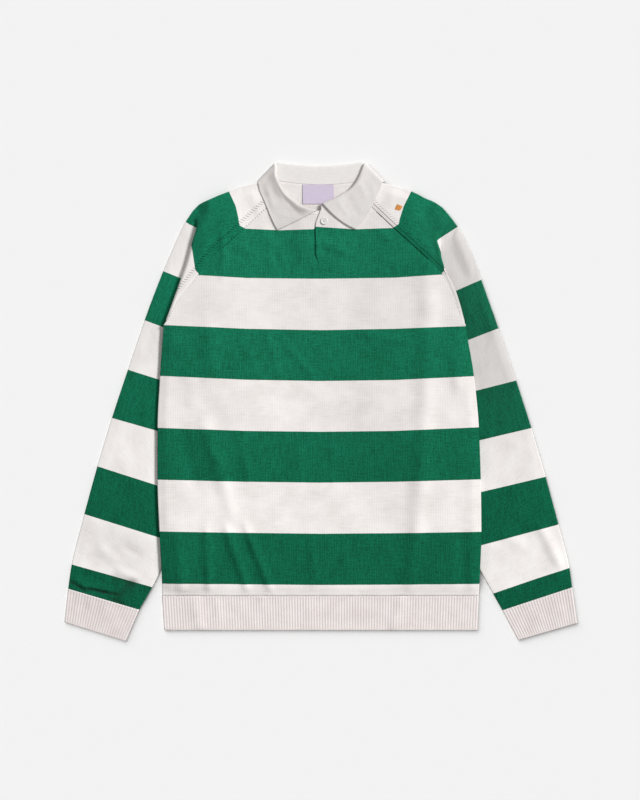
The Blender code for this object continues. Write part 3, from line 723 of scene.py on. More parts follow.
SLEEVE_STEP, SHOULDER_ROWS, PLEAT_ROWS, LOWER_ROWS, SLEEVE_COLUMNS = 4.2, 52, 7, 150, 46
PLEAT_RADIUS, PLEAT_EASE = 2.0, 1.5  # of its turn, and how much wider per millimetre nearer the floor
PLEAT_SLIDE = 1.7  # how far apart its rows lie down the sleeve, where it is flat
PLEAT_OPEN, PLEAT_END = 0.24, 9.0  # share where its two folds part, and how short of its line it stops
ONWARD = np.linspace(0, 1, 10)[1:-1]  # rows from the last straight one to the pleat
SLEEVES = {
    "left": dict(
        outer=((-91, 355), (-105, 352), (-125, 347.5), (-147, 339.5), (-165, 332.5), (-182, 325)),
        front=RAGLAN_LEFT[:1:-1], back=(*RAGLAN_LEFT_BACK[:1:-1], (-204, 193)),
        shoulder_end=((-195, 317),), underarm=((-229.4, 163), (-240.4, 144)),
        pleat=PLEAT_LEFT, tuck=TUCK_LEFT, seam=RAGLAN_LEFT,
        lower_outer=(
            (-221, 287), (-244, 236), (-274, 161), (-312, 51), (-350, -66), (-383, -184), (-403, -263),
            (-409, -303.7),
        ),
        lower_inner=(
            (-146, -8), (-155, -30), (-170, -67), (-197, -130), (-226, -198), (-256, -268),
            (-277, -309), (-294, -337.7),
        ),
        cover=(
            (-197, 294), (-212, 225), (-226, 198), (-254, 121), (-264, -44), (-264, -128), (-257, -330),
            (0, -330), (0, 294),
        ),
        shoulder=(
            ((200, -121), (279, -122), (284, -131), (297, -133), (315, -137), (339, -148), (360, -158)),
            (
                (100, -222), (190, -201), (203, -195), (212, -203), (252, -209), (262, -211),
                (280, -226), (360, -260),
            ),
        ),
        stripes=(
            ((-300, 352), (-148, 339), (0, 300)),
            ((-219.5, 290), (-201.5, 280), (-150, 262)),
            ((-256, 211), (-226, 199), (-180, 182)),
            ((-284.5, 130.3), (-256, 119.4), (-200, 99)),
            ((-312, 51), (-267, 36.7), (-200, 16)),
            ((-337.7, -27.9), (-271, -46.9), (-200, -68)),
            ((-362.9, -104.9), (-274, -133.4), (-210, -154)),
            ((-383, -183.3), (-272.6, -218), (-220, -234)),
            ((-404, -264), (-350, -279), (-273.6, -300.7)),
        ),
        folds=(
            (-150, 322, -150, 250, 12, 0.9), (-186, 306, -190, 240, 10, 1.0),
            (-205, 300, -206, 284, 5, -0.8),
            (-401, -287, -379, -302, 4, 2.2), (-381, -299, -338, -306, 4, 2.6),
            (-342, -316, -318, -302, 5, 2.0),
            (-404, -293, -380, -308, 2.6, -1.5), (-378, -304, -350, -309, 2.6, -1.7),
            (-352, -309, -332, -313, 2.6, -1.5),
            (-398, -276, -350, -292, 6, -1.2), (-338, -321, -320, -328, 3, -1.2),
            (-330, -272, -298, -288, 6, 1.6), (-360, -236, -330, -262, 8, 1.4),
            (-318, -236, -290, -252, 7, -1.2), (-298, 96, -282, 60, 7, 0.5),
            (-330, -80, -300, -150, 12, 0.5), (-370, -205, -300, -222, 9, 0.4),
            (-290, -230, -300, -290, 12, 0.5),
        ),
        shades=(
            (-262, 120, -285, 60, 14, 0.08), (-408, -290, -379, -308, 2.6, 0.55),
            (-380, -303, -350, -309, 2.6, 0.62),
            (-355, -309, -328, -313, 2.4, 0.55), (-341, -320, -318, -328, 2.8, 0.45),
            (-330, -318, -298, -288, 8, 0.3),
            (-338, -284, -296, -295, 6, 0.28), (-322, -205, -340, -268, 62, 0.11),
        ),
    ),
    "right": dict(
        outer=((91, 355), (104, 352), (124, 347.5), (146, 339.5), (158, 334), (169, 328)),
        front=(*RAGLAN_RIGHT[:3:-1], (162, 238), (178, 223)),
        back=(*RAGLAN_RIGHT_BACK[:2:-1], (162, 238), (178, 223)),
        shoulder_end=((181, 321.5), (195, 312.5)), underarm=((191.6, 211), (214.4, 167), (223.0, 145)),
        pleat=PLEAT_RIGHT, tuck=TUCK_RIGHT, seam=RAGLAN_RIGHT,
        lower_outer=(
            (223, 281), (243, 240), (273, 159), (316, 34), (352, -80), (385, -200), (402, -266),
            (407, -301.5),
        ),
        lower_inner=(
            (140, -8), (150, -30), (165, -67), (194, -130), (225, -198), (256, -270), (279, -312),
            (294, -338.7),
        ),
        cover=(
            (200, 286), (204, 212), (218, 184), (236, 118), (248, 41), (256, -44), (260, -170),
            (256, -330), (0, -330), (0, 286),
        ),
        shoulder=(
            ((200, -114), (280, -116), (286, -126), (293, -127), (315, -134), (339, -146), (360, -156)),
            (
                (100, -212), (190, -198), (205, -194), (210, -200), (221, -199), (241, -194),
                (260, -188), (282.5, -223), (360, -260),
            ),
        ),
        stripes=(
            ((0, 300), (146, 339), (300, 352)),
            ((140, 240), (188, 260), (223, 282.5)),
            ((180, 164), (217.5, 178), (241.9, 188.8), (260.9, 197)),
            ((200, 84), (244.3, 100.4), (287, 117)),
            ((200, 4), (252.4, 17.2), (316.5, 33.5)),
            ((200, -77), (259.5, -63.5), (339.8, -44.5)),
            ((210, -158), (260.9, -146.7), (365.5, -122)),
            ((220, -244), (259.5, -234.1), (384.5, -200.5)),
            ((278.5, -311.6), (350, -287), (402.5, -270)),
        ),
        folds=(
            (165, 312, 175, 300, 10, -2.4), (148, 330, 186, 306, 7, -0.8), (222, 272, 246, 203, 8, 1.8),
            (262, 162, 285, 110, 8, 2.2),
            (204, 262, 232, 196, 6, -0.7), (152, 312, 150, 270, 12, 0.8), (284, 116, 310, 34, 9, 1.1),
            (352, -196, 388, -268, 9, 3.2), (290, -215, 330, -235, 9, 1.2),
            (300, -120, 320, -190, 12, 0.4), (290, -250, 330, -262, 9, 0.5),
            (150, 300, 175, 262, 12, 0.5),
            (275, -60, 330, -72, 8, 0.5), (340, -40, 352, -100, 9, 0.5), (272, 20, 300, 28, 8, -0.4),
        ),
        shades=(
            (216, 300, 298, -20, 60, 0.24), (300, 0, 345, -120, 50, 0.05),
            (205, 216, 226, 160, 7, 0.14),
            (222, 168, 234, 128, 6, 0.14),
        ),
    ),
}
SLEEVE_YARNS = dict(
    green=(0.0090, 0.220, 0.118, 1), green_deep=(0.0025, 0.100, 0.048, 1),
    low_green=(0.0030, 0.135, 0.068, 1), low_green_deep=(0.0010, 0.052, 0.020, 1),
    white=(0.92, 0.885, 0.86, 1), low_white=(0.96, 0.925, 0.90, 1), white_shade=(0.64, 0.595, 0.57, 1),
)


def lengths(points):
    """How far along a line each of its points is."""
    steps = np.linalg.norm(np.diff(np.asarray(points, float), axis=0), axis=-1)
    return np.concatenate([[0], np.cumsum(steps)])


def curve(points, shares):
    """Points at shares of the length of a smooth line."""
    at = lengths(points)
    return through(at, points, np.asarray(shares) * at[-1])


def straight_through(knots, values, at):
    i = np.clip(np.searchsorted(knots, at, "right") - 1, 0, len(knots) - 2)
    t = ((at - knots[i]) / (knots[i + 1] - knots[i])).reshape((len(at),) + (1,) * (values.ndim - 1))
    return values[i] + (values[i + 1] - values[i]) * t


def refine(rows, step, bend=through):
    """More rows between the given ones, on smooth curves or straight from row to row."""
    rows = np.asarray(rows, float)
    gaps = np.linalg.norm(np.diff(rows[..., :3], axis=0), axis=-1)
    at = np.concatenate([[0], np.cumsum(np.maximum(gaps.mean(axis=1), 0.2))])
    new = [at[0]]
    for start, end, widest in zip(at, at[1:], gaps.max(axis=1)):
        count = max(int(np.ceil(widest / step)), 1)
        new += list(start + (end - start) * np.arange(1, count + 1) / count)
    return bend(at, rows, np.array(new))


def level_layer(start, end, inset, shares, height):
    """A layer's middle from a fold to a seam, with the way up."""
    start, end = np.array(start, float), np.array(end, float)
    way = (end - start) / np.linalg.norm(end - start)
    start, end = start + way * FOLD, end - way * inset
    flat = start + (end - start) * shares[:, None]
    z = height(flat[:, 0], flat[:, 1])
    return np.column_stack([flat, z]), np.repeat(UP[None], len(flat), axis=0)


def pleat_layers(pleat, tuck, down, shares, folds):
    """The rows round the pleat's two folds: over the upper one, back under, and round the lower."""
    line = np.array(pleat, float)
    total = lengths(line)[-1]
    edges = curve(line, (1 - (PLEAT_END + FOLD) / total) * shares)

    def outward(start, end):
        way = np.array((end[1] - start[1], start[0] - end[0]), float)
        way /= np.linalg.norm(way)
        return np.append(way if way[0] * start[0] > 0 else -way, 0.0)

    upper_out, lower_out = outward(line[1], line[-1]), outward(line[1], tuck)
    run = np.array((tuck[0] - line[-1, 0], tuck[1] - line[-1, 1], 0))
    beside = np.array((down[1], -down[0], 0)) * np.sign(line[0, 0])
    at_outline = (1 - ease(shares / 0.14))[:, None]
    inset = upper_out * (PLEAT_RADIUS + FOLD) * (1 - at_outline) - beside * FOLD * at_outline
    start = np.column_stack([edges, np.zeros(len(edges))]) - inset
    drop = lift(start[:, 0], start[:, 1])[:, None]
    radius = PLEAT_RADIUS + PLEAT_EASE * (PLEAT_LIFT - drop)
    turn = np.arccos(np.maximum(1 - drop / (2 * radius), -1))
    depth = np.clip((shares - PLEAT_OPEN) / (1 - PLEAT_OPEN), 0, None)[:, None]
    lower_way = upper_out + (lower_out - upper_out) * np.minimum(depth * 5, 1)
    lower_way /= np.linalg.norm(lower_way, axis=1)[:, None]
    back = start + upper_out * radius * np.sin(turn) + run * depth
    slide = down * PLEAT_SLIDE * (1 - drop / PLEAT_LIFT) ** 2
    over, under, parts = [], [], np.linspace(0, 1, PLEAT_ROWS)
    calm = ease(np.hypot(*(start[:, :2] - start[0, :2]).T) / 16)
    rise = ((FRONT_EASE + creased(FRONT_FOLDS + folds, start[:, 0], start[:, 1])) * calm)[:, None]
    for index, part in enumerate(parts):
        angle = turn * part
        place = start + upper_out * radius * np.sin(angle)
        place[:, 2:] = FLAT + drop - radius * (1 - np.cos(angle)) + rise * (1 - part)
        over.append((place + slide * index, upper_out * np.sin(angle) + UP * np.cos(angle)))
        place = back + lower_way * radius * (np.sin(turn) - np.sin(angle))
        place[:, 2:] = FLAT + radius * (1 - np.cos(angle))
        later = 2 * len(parts) - 1 - index
        under.append((place + slide * later, lower_way * np.sin(angle) + UP * np.cos(angle)))
    return over + under[::-1]


def build_sleeve(side):
    """Its table, its points from neck to cuff, and which rows lie over the shoulder."""
    cut = SLEEVES[side]
    shares = np.linspace(0, 1, SLEEVE_COLUMNS)
    turned = HALF * np.radians(86)

    def front_middle(x, y):
        calm = ease(np.hypot(x - x[0], y - y[0]) / 16) * ease(beyond(COLLAR_REACH, x, y) / 22)
        return front_height(x, y) - HALF + (FRONT_EASE + creased(FRONT_FOLDS + cut["folds"], x, y)) * calm

    def back_middle(x, y):
        return lift(x, y) + FLAT

    def lower_middle(x, y):
        clear = ease((beyond(cut["cover"], x, y) - 3) / 14) * ease(np.hypot(x - x[0], y - y[0]) / 14)
        return FLAT + (0.8 + creased(cut["folds"], x, y)) * clear

    rows = []
    index = np.arange(len(cut["outer"]))
    for at in np.linspace(0, index[-1], SHOULDER_ROWS):
        outer, front_seam, back_seam = (
            through(index, cut[key], [at])[0] for key in ("outer", "front", "back")
        )
        upper = level_layer(outer, front_seam, SEAM_GAP + turned, shares, front_middle)
        lower = level_layer(outer, back_seam, SEAM_GAP + turned, shares, back_middle)
        rows.append(tube_row(upper, lower, HALF, 0.0))
    down = np.array(cut["lower_outer"][0], float) - cut["pleat"][0]
    down = np.append(down / np.linalg.norm(down), 0)
    pleat = pleat_layers(cut["pleat"], cut["tuck"], down, shares, cut["folds"])
    fold = pleat[0][0][:, :2]
    outline = curve((upper[0][0, :2], *cut["shoulder_end"], fold[0]), ONWARD)
    armhole = curve((upper[0][-1, :2], *cut["underarm"], fold[-1]), ONWARD)
    for part, outer, end in zip(ONWARD, outline, armhole):
        layers = []
        for last, height in ((upper, front_middle), (lower, back_middle)):
            flat = last[0][:, :2] + (fold - last[0][:, :2]) * part
            flat += (outer - flat[0]) * (1 - shares[:, None]) ** 3 + (end - flat[-1]) * shares[:, None] ** 3
            layers.append((np.column_stack([flat, height(flat[:, 0], flat[:, 1])]), last[1]))
        rows.append(tube_row(*layers, HALF, part))
    for layer in pleat:
        rows.append(tube_row(layer, layer, HALF, 1.0))
    index = np.arange(len(cut["lower_outer"]))
    for at in np.linspace(0, index[-1], LOWER_ROWS):
        outer, inner = (through(index, cut[key], [at])[0] for key in ("lower_outer", "lower_inner"))
        upper = level_layer(outer, inner, FOLD, shares, lower_middle)
        lower = level_layer(outer, inner, FOLD, shares, lambda x, y: np.full(len(x), FLAT))
        rows.append(tube_row(upper, lower, HALF, 1.0))
    top = SHOULDER_ROWS + len(ONWARD)
    below = np.arange(len(rows)) >= top + PLEAT_ROWS
    below = np.repeat(below[:, None, None], len(rows[0]), axis=1)
    rows = np.concatenate([rows, below], axis=-1)
    points = [refine(rows[:top + 1], SLEEVE_STEP, straight_through)[:-1], refine(rows[top:], SLEEVE_STEP)]
    points = np.concatenate(points)
    return cut, points[..., :3], points[..., 3] < 0.5


def sleeve_bands(cut, points, is_shoulder):
    x, y = points[..., 0], points[..., 1]
    way = np.sign(cut["outer"][0][0])
    shoulder = between(cut["shoulder"], -x * way, y)
    tilt = -0.31 * way
    lines = [[(px, py + tilt * px) for px, py in line] for line in cut["stripes"]]
    lower = between(lines, y + tilt * x, x)
    return np.where(is_shoulder, shoulder, lower)


def beside_seam(points, seam, kind):
    """Along a seam, away from it, and the kind of marks there."""
    knots = np.array(seam, float)
    at = lengths(knots)
    best = np.full(points.shape[:2], 1e3)
    along = np.zeros(points.shape[:2])
    for start, end, begin in zip(knots, knots[1:], at):
        way = end - start
        share = np.clip(((points[..., :2] - start) @ way) / (way @ way), 0, 1)
        far = np.linalg.norm(points[..., :2] - start - share[..., None] * way, axis=-1)
        along = np.where(far < best, begin + share * np.linalg.norm(way), along)
        best = np.minimum(far, best)
    return np.stack([along, best, np.full(points.shape[:2], kind)], axis=-1)


sleeve_knit = striped_knit("sleeve_knit", SLEEVE_YARNS)
sleeve_tops = {}
for side in SLEEVES:
    cut, points, is_shoulder = build_sleeve(side)
    bands = sleeve_bands(cut, points, is_shoulder)
    marks = beside_seam(points, cut["seam"], 1.0 if side == "left" else -1.0)
    on_top = np.arange(points.shape[1]) < points.shape[1] // 2
    marks[..., 2] *= is_shoulder & on_top
    if side == "right":  # the welt dies out where the seam nears the fold
        marks[..., 2] *= ease((points[..., 1] - 198) / 14)
    flat = spread(points, points.shape[1] // 2)
    # painted shade on the top layer only, over broad areas and along creases
    shade = creased(cut["shades"], points[..., 0], points[..., 1]) * np.where(on_top, 1.0, 0.0)
    sleeve = cloth("sleeve_" + side + "_knit", points, JERSEY, flat, band=bands, seam=marks, shade=shade)
    sleeve.data.materials.append(sleeve_knit)
    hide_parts("sleeve_" + side)
    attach(sleeve, "root")
    "sleeve_" + side + "_jersey"
    sleeve_tops[side] = points[:, :SLEEVE_COLUMNS + 2]


# Shoulder stitches
# A plain lozenge of orange cotton in satin stitch, each thread a long rounded one, sewn near
# the neck through the right sleeve.

LOZENGE_X, LOZENGE_Y, LOZENGE_HALF, STITCH = 126.0, 312.5, 6.5, 0.9


def place_mesh(name, bm, material):
    mesh = bpy.data.meshes.new(name)
    bm.to_mesh(mesh)
    bm.free()
    mesh.polygons.foreach_set("use_smooth", np.ones(len(mesh.polygons), dtype=bool))
    mesh.materials.append(material)
    made = bpy.data.objects.new(name, mesh)
    bpy.context.scene.collection.objects.link(made)
    return made


def thread_like(bm, at, size, turn):
    """One rounded stitch: its middle, half sizes and turn from +X, in millimetres."""
    made = bmesh.ops.create_uvsphere(bm, u_segments=8, v_segments=6, radius=MM)["verts"]
    bmesh.ops.scale(bm, verts=made, vec=size)
    bmesh.ops.rotate(bm, verts=made, cent=(0, 0, 0), matrix=Matrix.Rotation(turn, 3, "Z"))
    bmesh.ops.translate(bm, verts=made, vec=tuple(np.array(at) * MM))


def yarn(name, light, dark, scale):
    finish = Finish(name, 0.6)
    tone = finish.noise(finish.add("ShaderNodeTexCoord", {}, {}, output=3), scale, 3.0, 0.7)
    return finish.finish(finish.mix((tone - 0.35) * 2.5, light, dark), tone, 0.1)


bm = bmesh.new()
sleeve_top = sleeve_tops["right"]
for step in np.arange(-LOZENGE_HALF + 0.7, LOZENGE_HALF, STITCH):
    reach = LOZENGE_HALF - abs(step) + 0.4
    x, y = LOZENGE_X + step * 0.94, LOZENGE_Y + step * 0.34
    near = np.hypot(sleeve_top[..., 0] - x, sleeve_top[..., 1] - y)
    level = sleeve_top[..., 2][np.unravel_index(near.argmin(), near.shape)] + JERSEY / 2 + 0.15
    thread_like(bm, (x, y, level), (0.62, reach, 0.5), np.radians(20))
orange = yarn("orange_thread", (0.86, 0.36, 0.06, 1), (0.45, 0.15, 0.03, 1), 700)
mark = place_mesh("shoulder_lozenge", bm, orange)
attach(mark, "root")


# Collar
# A band of fine close knit, linked round the neckline. It stands up to a soft roll and turns
# down over the front, and its back leaf lies under the back panel.

COLLAR = 1.9
ROLL_HEIGHT, LEAF_RISE, LEAF_DROP = 4.2, 2.0, 5
BACK_STAND, BACK_LEAF_LEVEL, CREASED_ABOVE = 0.9, 1.0, 5.5
SEAM_LAP = 1.2  # the stand laps this far over the back's neckline
STAND_SHARES = (0, 0.02, 0.25, 0.5, 0.75)
ROLL_TURNS = np.radians(np.arange(0, 181, 18))
LEAF_SHARES = (*np.linspace(0.04, 0.97, 19), 0.99, 1)
# Seam, roll, leaf's edge, layer (1 in front, 0 at the side, -1 behind), bow of the leaf
COLLAR_ROWS = (
    ((-5, 303), (-6.5, 308.5), (-70, 277), 1, 1), ((-34, 301.2), (-28.5, 315), (-77, 290), 1, 0),
    ((-56, 308), (-43, 325), (-82, 301), 1, 0), ((-73.5, 321.8), (-57, 336.5), (-87, 314), 1, 0),
    ((-82.5, 338.5), (-66, 352), (-93, 328), 1, 0), ((-89.2, 353), (-72, 371), (-99, 342), 1, 0),
    ((-89, 356.8), (-75, 386), (-104, 355), 0, 0), ((-79, 359), (-68, 386), (-92, 345), -1, 0),
    ((-54, 355.6), (-50, 384.5), (-62, 338), -1, 0), ((-27, 352.6), (-25, 382), (-30, 335), -1, 0),
    ((0, 351.6), (0, 381), (0, 334), -1, 0), ((27, 352.6), (25, 382), (30, 335), -1, 0),
    ((54, 355.6), (50, 384.5), (62, 338), -1, 0), ((79, 359), (66, 387), (92, 345), -1, 0),
    ((89, 356.8), (73, 387), (103, 356), 0, 0), ((88.6, 353), (65, 371), (97, 345), 1, 0),
    ((76, 338.5), (55, 352), (91, 332), 1, 0), ((65.5, 327.6), (45.5, 342), (84, 317), 1, 0),
    ((51, 319.4), (36, 336.5), (77, 304), 1, 0), ((33.5, 312.7), (22, 328), (70, 293), 1, 0),
    ((6, 311.5), (2, 319.5), (56.5, 278), 1, 5.5),
)
COLLAR_FOLDS = (
    (-68, 281, -18, 303, 6, 1.1), (-96, 326, -74, 282, 5, 0.5),
    (-66, 342, -56, 322, 2.6, -0.8), (-60, 334, -48, 316, 2.6, -0.7), (-72, 356, -66, 338, 3, -0.6),
    (-86, 344, -76, 312, 5, 0.6), (-50, 318, -36, 304, 3, -0.6), (-92, 338, -78, 300, 5, -0.5),
    (-64, 300, -40, 300, 6, 0.5), (62, 352, 74, 330, 5, 0.6), (44, 330, 62, 300, 6, -0.5),
    (84, 350, 88, 322, 5, 0.5), (28, 322, 44, 300, 4, 0.6), (-30, 366, 30, 364, 5, 0.4),
)
LEAF_SHADES = (
    (-83, 368, -64, 334, 8, 0.5), (-68, 342, -24, 304, 7, 0.85), (-92, 352, -86, 330, 4, 0.3),
    (60, 345, 40, 318, 8, 0.1),
)
ROLL_SHADE, LEAF_SHADE = 0.42, 0.28
COLLAR_WHITE = (0.88, 0.85, 0.825, 1)
COLLAR_SHADE = (0.56, 0.525, 0.505, 1)


def collar_row(seam, roll, edge, layer, bow, turn):
    """Across the collar: up the stand, round the roll and down the leaf."""
    front_share = (1 + np.sin(turn)) / 2
    at_side = layer == 0
    draw_in = 1 - np.cos(turn) if at_side else 0.0
    sideways = np.cos(turn) if at_side else 0.0
    seam, roll, edge = (np.array((*place, 0.0)) for place in (seam, roll, edge))
    along = roll - (seam + edge) / 2
    along /= np.linalg.norm(along)
    aside = np.cross(roll - edge, UP)
    aside *= np.sign(aside[0] * seam[0]) / np.linalg.norm(aside)
    front = front_height(seam[0], seam[1])
    back = lift(seam[0], seam[1]) + BACK_STAND
    front_leaf, back_leaf = front + ROLL_HEIGHT, BACK_LEAF_LEVEL
    in_by = (front_leaf - back_leaf) / 2 * draw_in + sideways

    def level(low, high):
        return low + (high - low) * front_share

    leaf_start = roll - along * (ROLL_HEIGHT / 2 + 1.0) - aside * in_by
    leaf_start[2] = level(back_leaf, front_leaf)
    leaf_end = edge - aside * in_by
    leaf_end[2] = level(back_leaf, front_height(edge[0], edge[1]) + LEAF_RISE)
    stand_end = leaf_start - aside * ROLL_HEIGHT * sideways
    stand_end[2] = level(back + 0.2, front) if layer >= 0 else leaf_start[2] + ROLL_HEIGHT
    seam = seam - aside * draw_in - along * SEAM_LAP * (1 - front_share)
    seam[2] = level(back, front)
    stand = [seam + (stand_end - seam) * share for share in STAND_SHARES]
    half_gap = (leaf_start - stand_end) / 2
    size = np.linalg.norm(half_gap)
    roll_round = [
        stand_end + half_gap * (1 - np.cos(angle)) + along * size * np.sin(angle)
        for angle in ROLL_TURNS
    ]
    leaf = []
    for share in LEAF_SHARES:
        place = leaf_start + (leaf_end - leaf_start) * share
        place[1] -= bow * 4 * share * (1 - share)
        over = LEAF_RISE + (ROLL_HEIGHT - LEAF_RISE) * (1 - share) ** LEAF_DROP + 0.1 * bow * share
        place[2] = level(back_leaf, front_height(place[0], place[1]) + over)
        leaf.append(place)
    return stand + roll_round + leaf


def fine_knit(name, light, shade, wale, depth):
    """Close plain knit in one yarn, with painted shade from the cloth's leaf values."""
    finish = Finish(name, 0.92, Specular_IOR_Level=0.15)
    across, along = finish.cloth_place()
    place = finish.join(across, along)
    height, _ = stitches(finish, across, along, wale, wale * 0.8)
    fuzz = finish.noise(place, 0.9, 3.0)
    slub = finish.noise(finish.join(across * 0.6, along * 0.08), 1.0, 3.0, 0.6)
    # (1 - height) paints shade on the low parts of the stitches
    tone = (slub - 0.5) * 0.6 + (fuzz - 0.5) * 0.25 + (1 - height) * 0.1 + 0.12
    # the leaf values are painted shade
    tone = tone + finish.attribute("leaf", 2)
    colour = finish.mix(tone, light, shade)
    return finish.finish(colour, height * 0.5 + fuzz * 0.5 + slub * 0.5, depth)


collar_rows = []
for seam, roll, edge, layer, bow in COLLAR_ROWS:
    turns = (layer * 90,) if layer else (80, 45, 0, -45, -80)
    for turn in turns if seam[0] < 0 else turns[::-1]:
        collar_rows.append(collar_row(seam, roll, edge, layer, bow, np.radians(turn)))
collar_points = refine(collar_rows, 3.0)
on_stand, on_leaf = len(STAND_SHARES), -len(LEAF_SHARES)
# painted shade: on the roll, except at the back of the neck, and on both leaves, most on the left one
shade = np.zeros(collar_points.shape[:2])
shade[:, on_stand:on_leaf] = ROLL_SHADE * ease((374 - collar_points[:, on_stand:on_leaf, 1]) / 16)
shade[:, on_leaf:] = LEAF_SHADE + creased(LEAF_SHADES, *np.moveaxis(collar_points[:, on_leaf:, :2], -1, 0))
crease = creased(COLLAR_FOLDS, collar_points[..., 0], collar_points[..., 1])
collar_points[..., 2] += crease * (collar_points[..., 2] > CREASED_ABOVE)
collar = cloth("collar_band", collar_points, COLLAR, spread(collar_points), leaf=shade)
collar.data.materials.append(fine_knit("collar_fine_knit", COLLAR_WHITE, COLLAR_SHADE, 1.6, 0.22))
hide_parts("collar")
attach(collar, "root")


# Placket's under side
# A strip of the panel's own knit, sewn behind the slit, so that the opening never shows skin.
# Only its edge is seen, between the two sides of the slit.

STRIP = 1.4
STRIP_BELOW = 2.2  # how far its middle lies under the front's
across, up = np.meshgrid(np.linspace(STRIP_LEFT, STRIP_RIGHT, 13), np.linspace(STRIP_BOTTOM, STRIP_TOP, 23))
strip_points = np.stack([across, up, front_height(across, up) - STRIP_BELOW], axis=-1)
underlap = cloth(
    "placket_strip", strip_points, STRIP, strip_points[..., :2],
    band=body_bands(across, up), seam=no_marks(strip_points),
)
underlap.data.materials.append(striped)
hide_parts("placket_underlap")
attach(underlap, "root")


# Neck label
# A plain lilac label of woven satin, tacked along its top under the back of the neck seam, so that
# its foot stands a little loose. Its folded ends are not drawn: it is one flat tab.

LABEL_WALL, LABEL_WIDTH = 0.8, 51
(label_left, label_bottom, _), (label_right, label_top, _) = (
    np.array(corner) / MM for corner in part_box("neck_label")
)
near_edges = np.array((0, 0.01, *np.linspace(0.05, 0.95, 23), 0.99, 1))
across, up = np.meshgrid(
    label_left + (label_right - label_left) * near_edges,
    label_bottom + (label_top - label_bottom) * near_edges,
)
loose = (label_top - up) / (label_top - label_bottom)
puff = 0.42 * loose ** 2 + 0.15 * np.sin((across - label_left) / LABEL_WIDTH * np.pi) * loose
label_points = np.stack([across + 0.5 * loose, up, lift(across, up) + 2.1 + puff], axis=-1)


def woven_satin():
    finish = Finish("label_satin", 0.5, Sheen_Weight=0.2)
    across, along = finish.cloth_place()
    weft = ((along / 0.45).part() - 0.5).size() * 2
    warp = ((across / 0.6).part() - 0.5).size() * 2
    cloud = finish.noise(finish.join(across * 0.1, along * 0.5), 1.0, 3.0)
    colour = finish.mix((cloud - 0.4) * 0.9 + weft * 0.12, (0.66, 0.575, 0.715, 1), (0.55, 0.465, 0.62, 1))
    return finish.finish(colour, weft + warp * 0.4, 0.08)


label = cloth("label_tab", label_points, LABEL_WALL, label_points[..., :2])
label.data.materials.append(woven_satin())
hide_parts("neck_label")
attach(label, "root")


# Button
# A cast four-hole button with a raised rim, in milky plastic, sewn to the placket with two
# bars of white thread through its holes, which are drawn as flat discs of painted shade.

(button_left, button_low, button_foot), (button_right, button_high, _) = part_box("button")
SECTION = (
    (0, 1.5), (2.6, 1.5), (3.5, 1.52), (4.0, 1.62), (4.3, 1.82), (4.7, 1.92), (5.1, 1.88), (5.6, 1.65),
    (5.9, 1.3), (6, 0.9), (5.85, 0.4), (5.4, 0.1), (4.6, 0), (0, 0),
)
HOLE_OUT, HOLE_LEVEL, THREAD_LEVEL = 1.15, 1.5, 1.75


def cast_plastic():
    finish = Finish("button_plastic", 0.3, Coat_Weight=0.3)
    place = finish.add("ShaderNodeTexCoord", {}, {}, output=3)
    swirl = finish.noise(place, 260.0, 3.0)
    colour = finish.mix((swirl - 0.4) * 0.8, (0.80, 0.775, 0.75, 1), (0.66, 0.63, 0.60, 1))
    return finish.finish(colour, finish.noise(place, 900.0, 2.0), 0.02)


bm = bmesh.new()
centre = np.array(((button_left + button_right) / 2, (button_low + button_high) / 2, button_foot)) / MM
section = [bm.verts.new(tuple((centre + (r, 0, z)) * MM)) for r, z in SECTION]
edges = [bm.edges.new(pair) for pair in zip(section, section[1:])]
bmesh.ops.spin(
    bm, geom=section + edges, cent=tuple(centre * MM), axis=(0, 0, 1), angle=2 * np.pi, steps=48,
    use_merge=True,
)
bmesh.ops.remove_doubles(bm, verts=bm.verts, dist=0.01 * MM)
bmesh.ops.recalc_face_normals(bm, faces=bm.faces)
button = place_mesh("shirt_button", bm, cast_plastic())
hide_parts("button")
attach(button, "root")
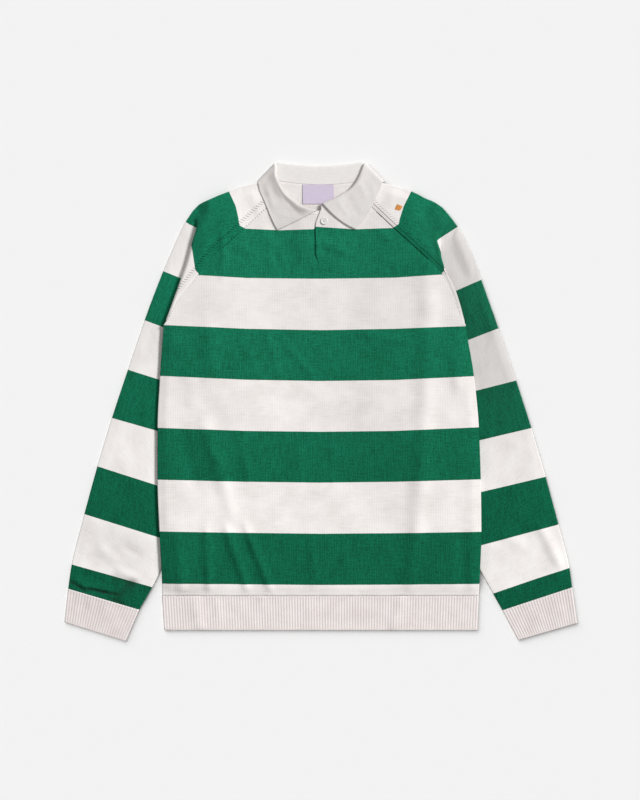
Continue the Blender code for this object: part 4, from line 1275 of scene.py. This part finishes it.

# the holes are not cut: each is a flat dark disc on the face, painted shade
hole_shade_discs, sewing = bmesh.new(), bmesh.new()
for across in (-HOLE_OUT, HOLE_OUT):
    for up in (-HOLE_OUT, HOLE_OUT):
        thread_like(hole_shade_discs, centre + (across, up, HOLE_LEVEL), (0.62, 0.62, 0.08), 0)
    thread_like(sewing, centre + (across, 0, THREAD_LEVEL), (0.32, 1.35, 0.3), 0)
for name, bm, material in (
    ("button_hole_shade_discs", hole_shade_discs, yarn("button_hole_shade", (0.20, 0.17, 0.15, 1), (0.12, 0.10, 0.09, 1), 900)),
    ("button_thread", sewing, yarn("white_thread", (0.84, 0.81, 0.78, 1), (0.62, 0.58, 0.55, 1), 2500)),
):
    made = place_mesh(name, bm, material)
    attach(made, "root")


# Floor, lights and camera
# A sheet of plain pale paper. The shirt is lit softly from the right and above. The paper has
# a wide light of its own from the left, which puts the faint shadow below and to the right.

bm = bmesh.new()
bmesh.ops.create_grid(bm, x_segments=1, y_segments=1, size=6.0)
bmesh.ops.translate(bm, verts=bm.verts, vec=(0, 0, -0.0003))
paper = Finish("pale_floor", 0.95)
place = paper.add("ShaderNodeTexCoord", {}, {}, output=3)
floor = place_mesh("floor", bm, paper.finish((0.90, 0.90, 0.90, 1), paper.noise(place, 300.0), 0.02, 0.1))

world = bpy.data.worlds.new("studio")
world.use_nodes = True
world.node_tree.nodes["Background"].inputs["Color"].default_value = (1.0, 1.0, 1.0, 1)
world.node_tree.nodes["Background"].inputs["Strength"].default_value = 0.38
bpy.context.scene.world = world

not_floor, floor_alone = bpy.data.collections.new("all_but_floor"), bpy.data.collections.new("floor_alone")
not_floor.objects.link(floor)
not_floor.collection_objects[0].light_linking.link_state = "EXCLUDE"
floor_alone.objects.link(floor)
# Energy, angle across, tilt from straight above, what it lights
for name, energy, angle, tilt, lit in (
    ("key", 2.91, 16, (-22, 44, 0), not_floor), ("wide", 2.98, 70, (-32.7, -39.9, 0), floor_alone),
):
    sun = bpy.data.lights.new(name, "SUN")
    sun.energy = energy
    sun.angle = np.radians(angle)
    light = bpy.data.objects.new(name, sun)
    light.rotation_euler = tuple(np.radians(tilt))
    light.light_linking.receiver_collection = lit
    bpy.context.scene.collection.objects.link(light)

VIEW_HEIGHT = 1296 * MM  # of floor, from the top of the view to its foot
VIEW_MIDDLE = (-0.0011, 0.0016)
camera = bpy.data.cameras.new("overhead")
camera.lens, camera.sensor_width = 150.0, 36.0
overhead = bpy.data.objects.new("overhead", camera)
overhead.location = (*VIEW_MIDDLE, VIEW_HEIGHT * camera.lens / camera.sensor_width)
bpy.context.scene.collection.objects.link(overhead)
bpy.context.scene.camera = overhead
bpy.context.scene.view_settings.view_transform = "Standard"
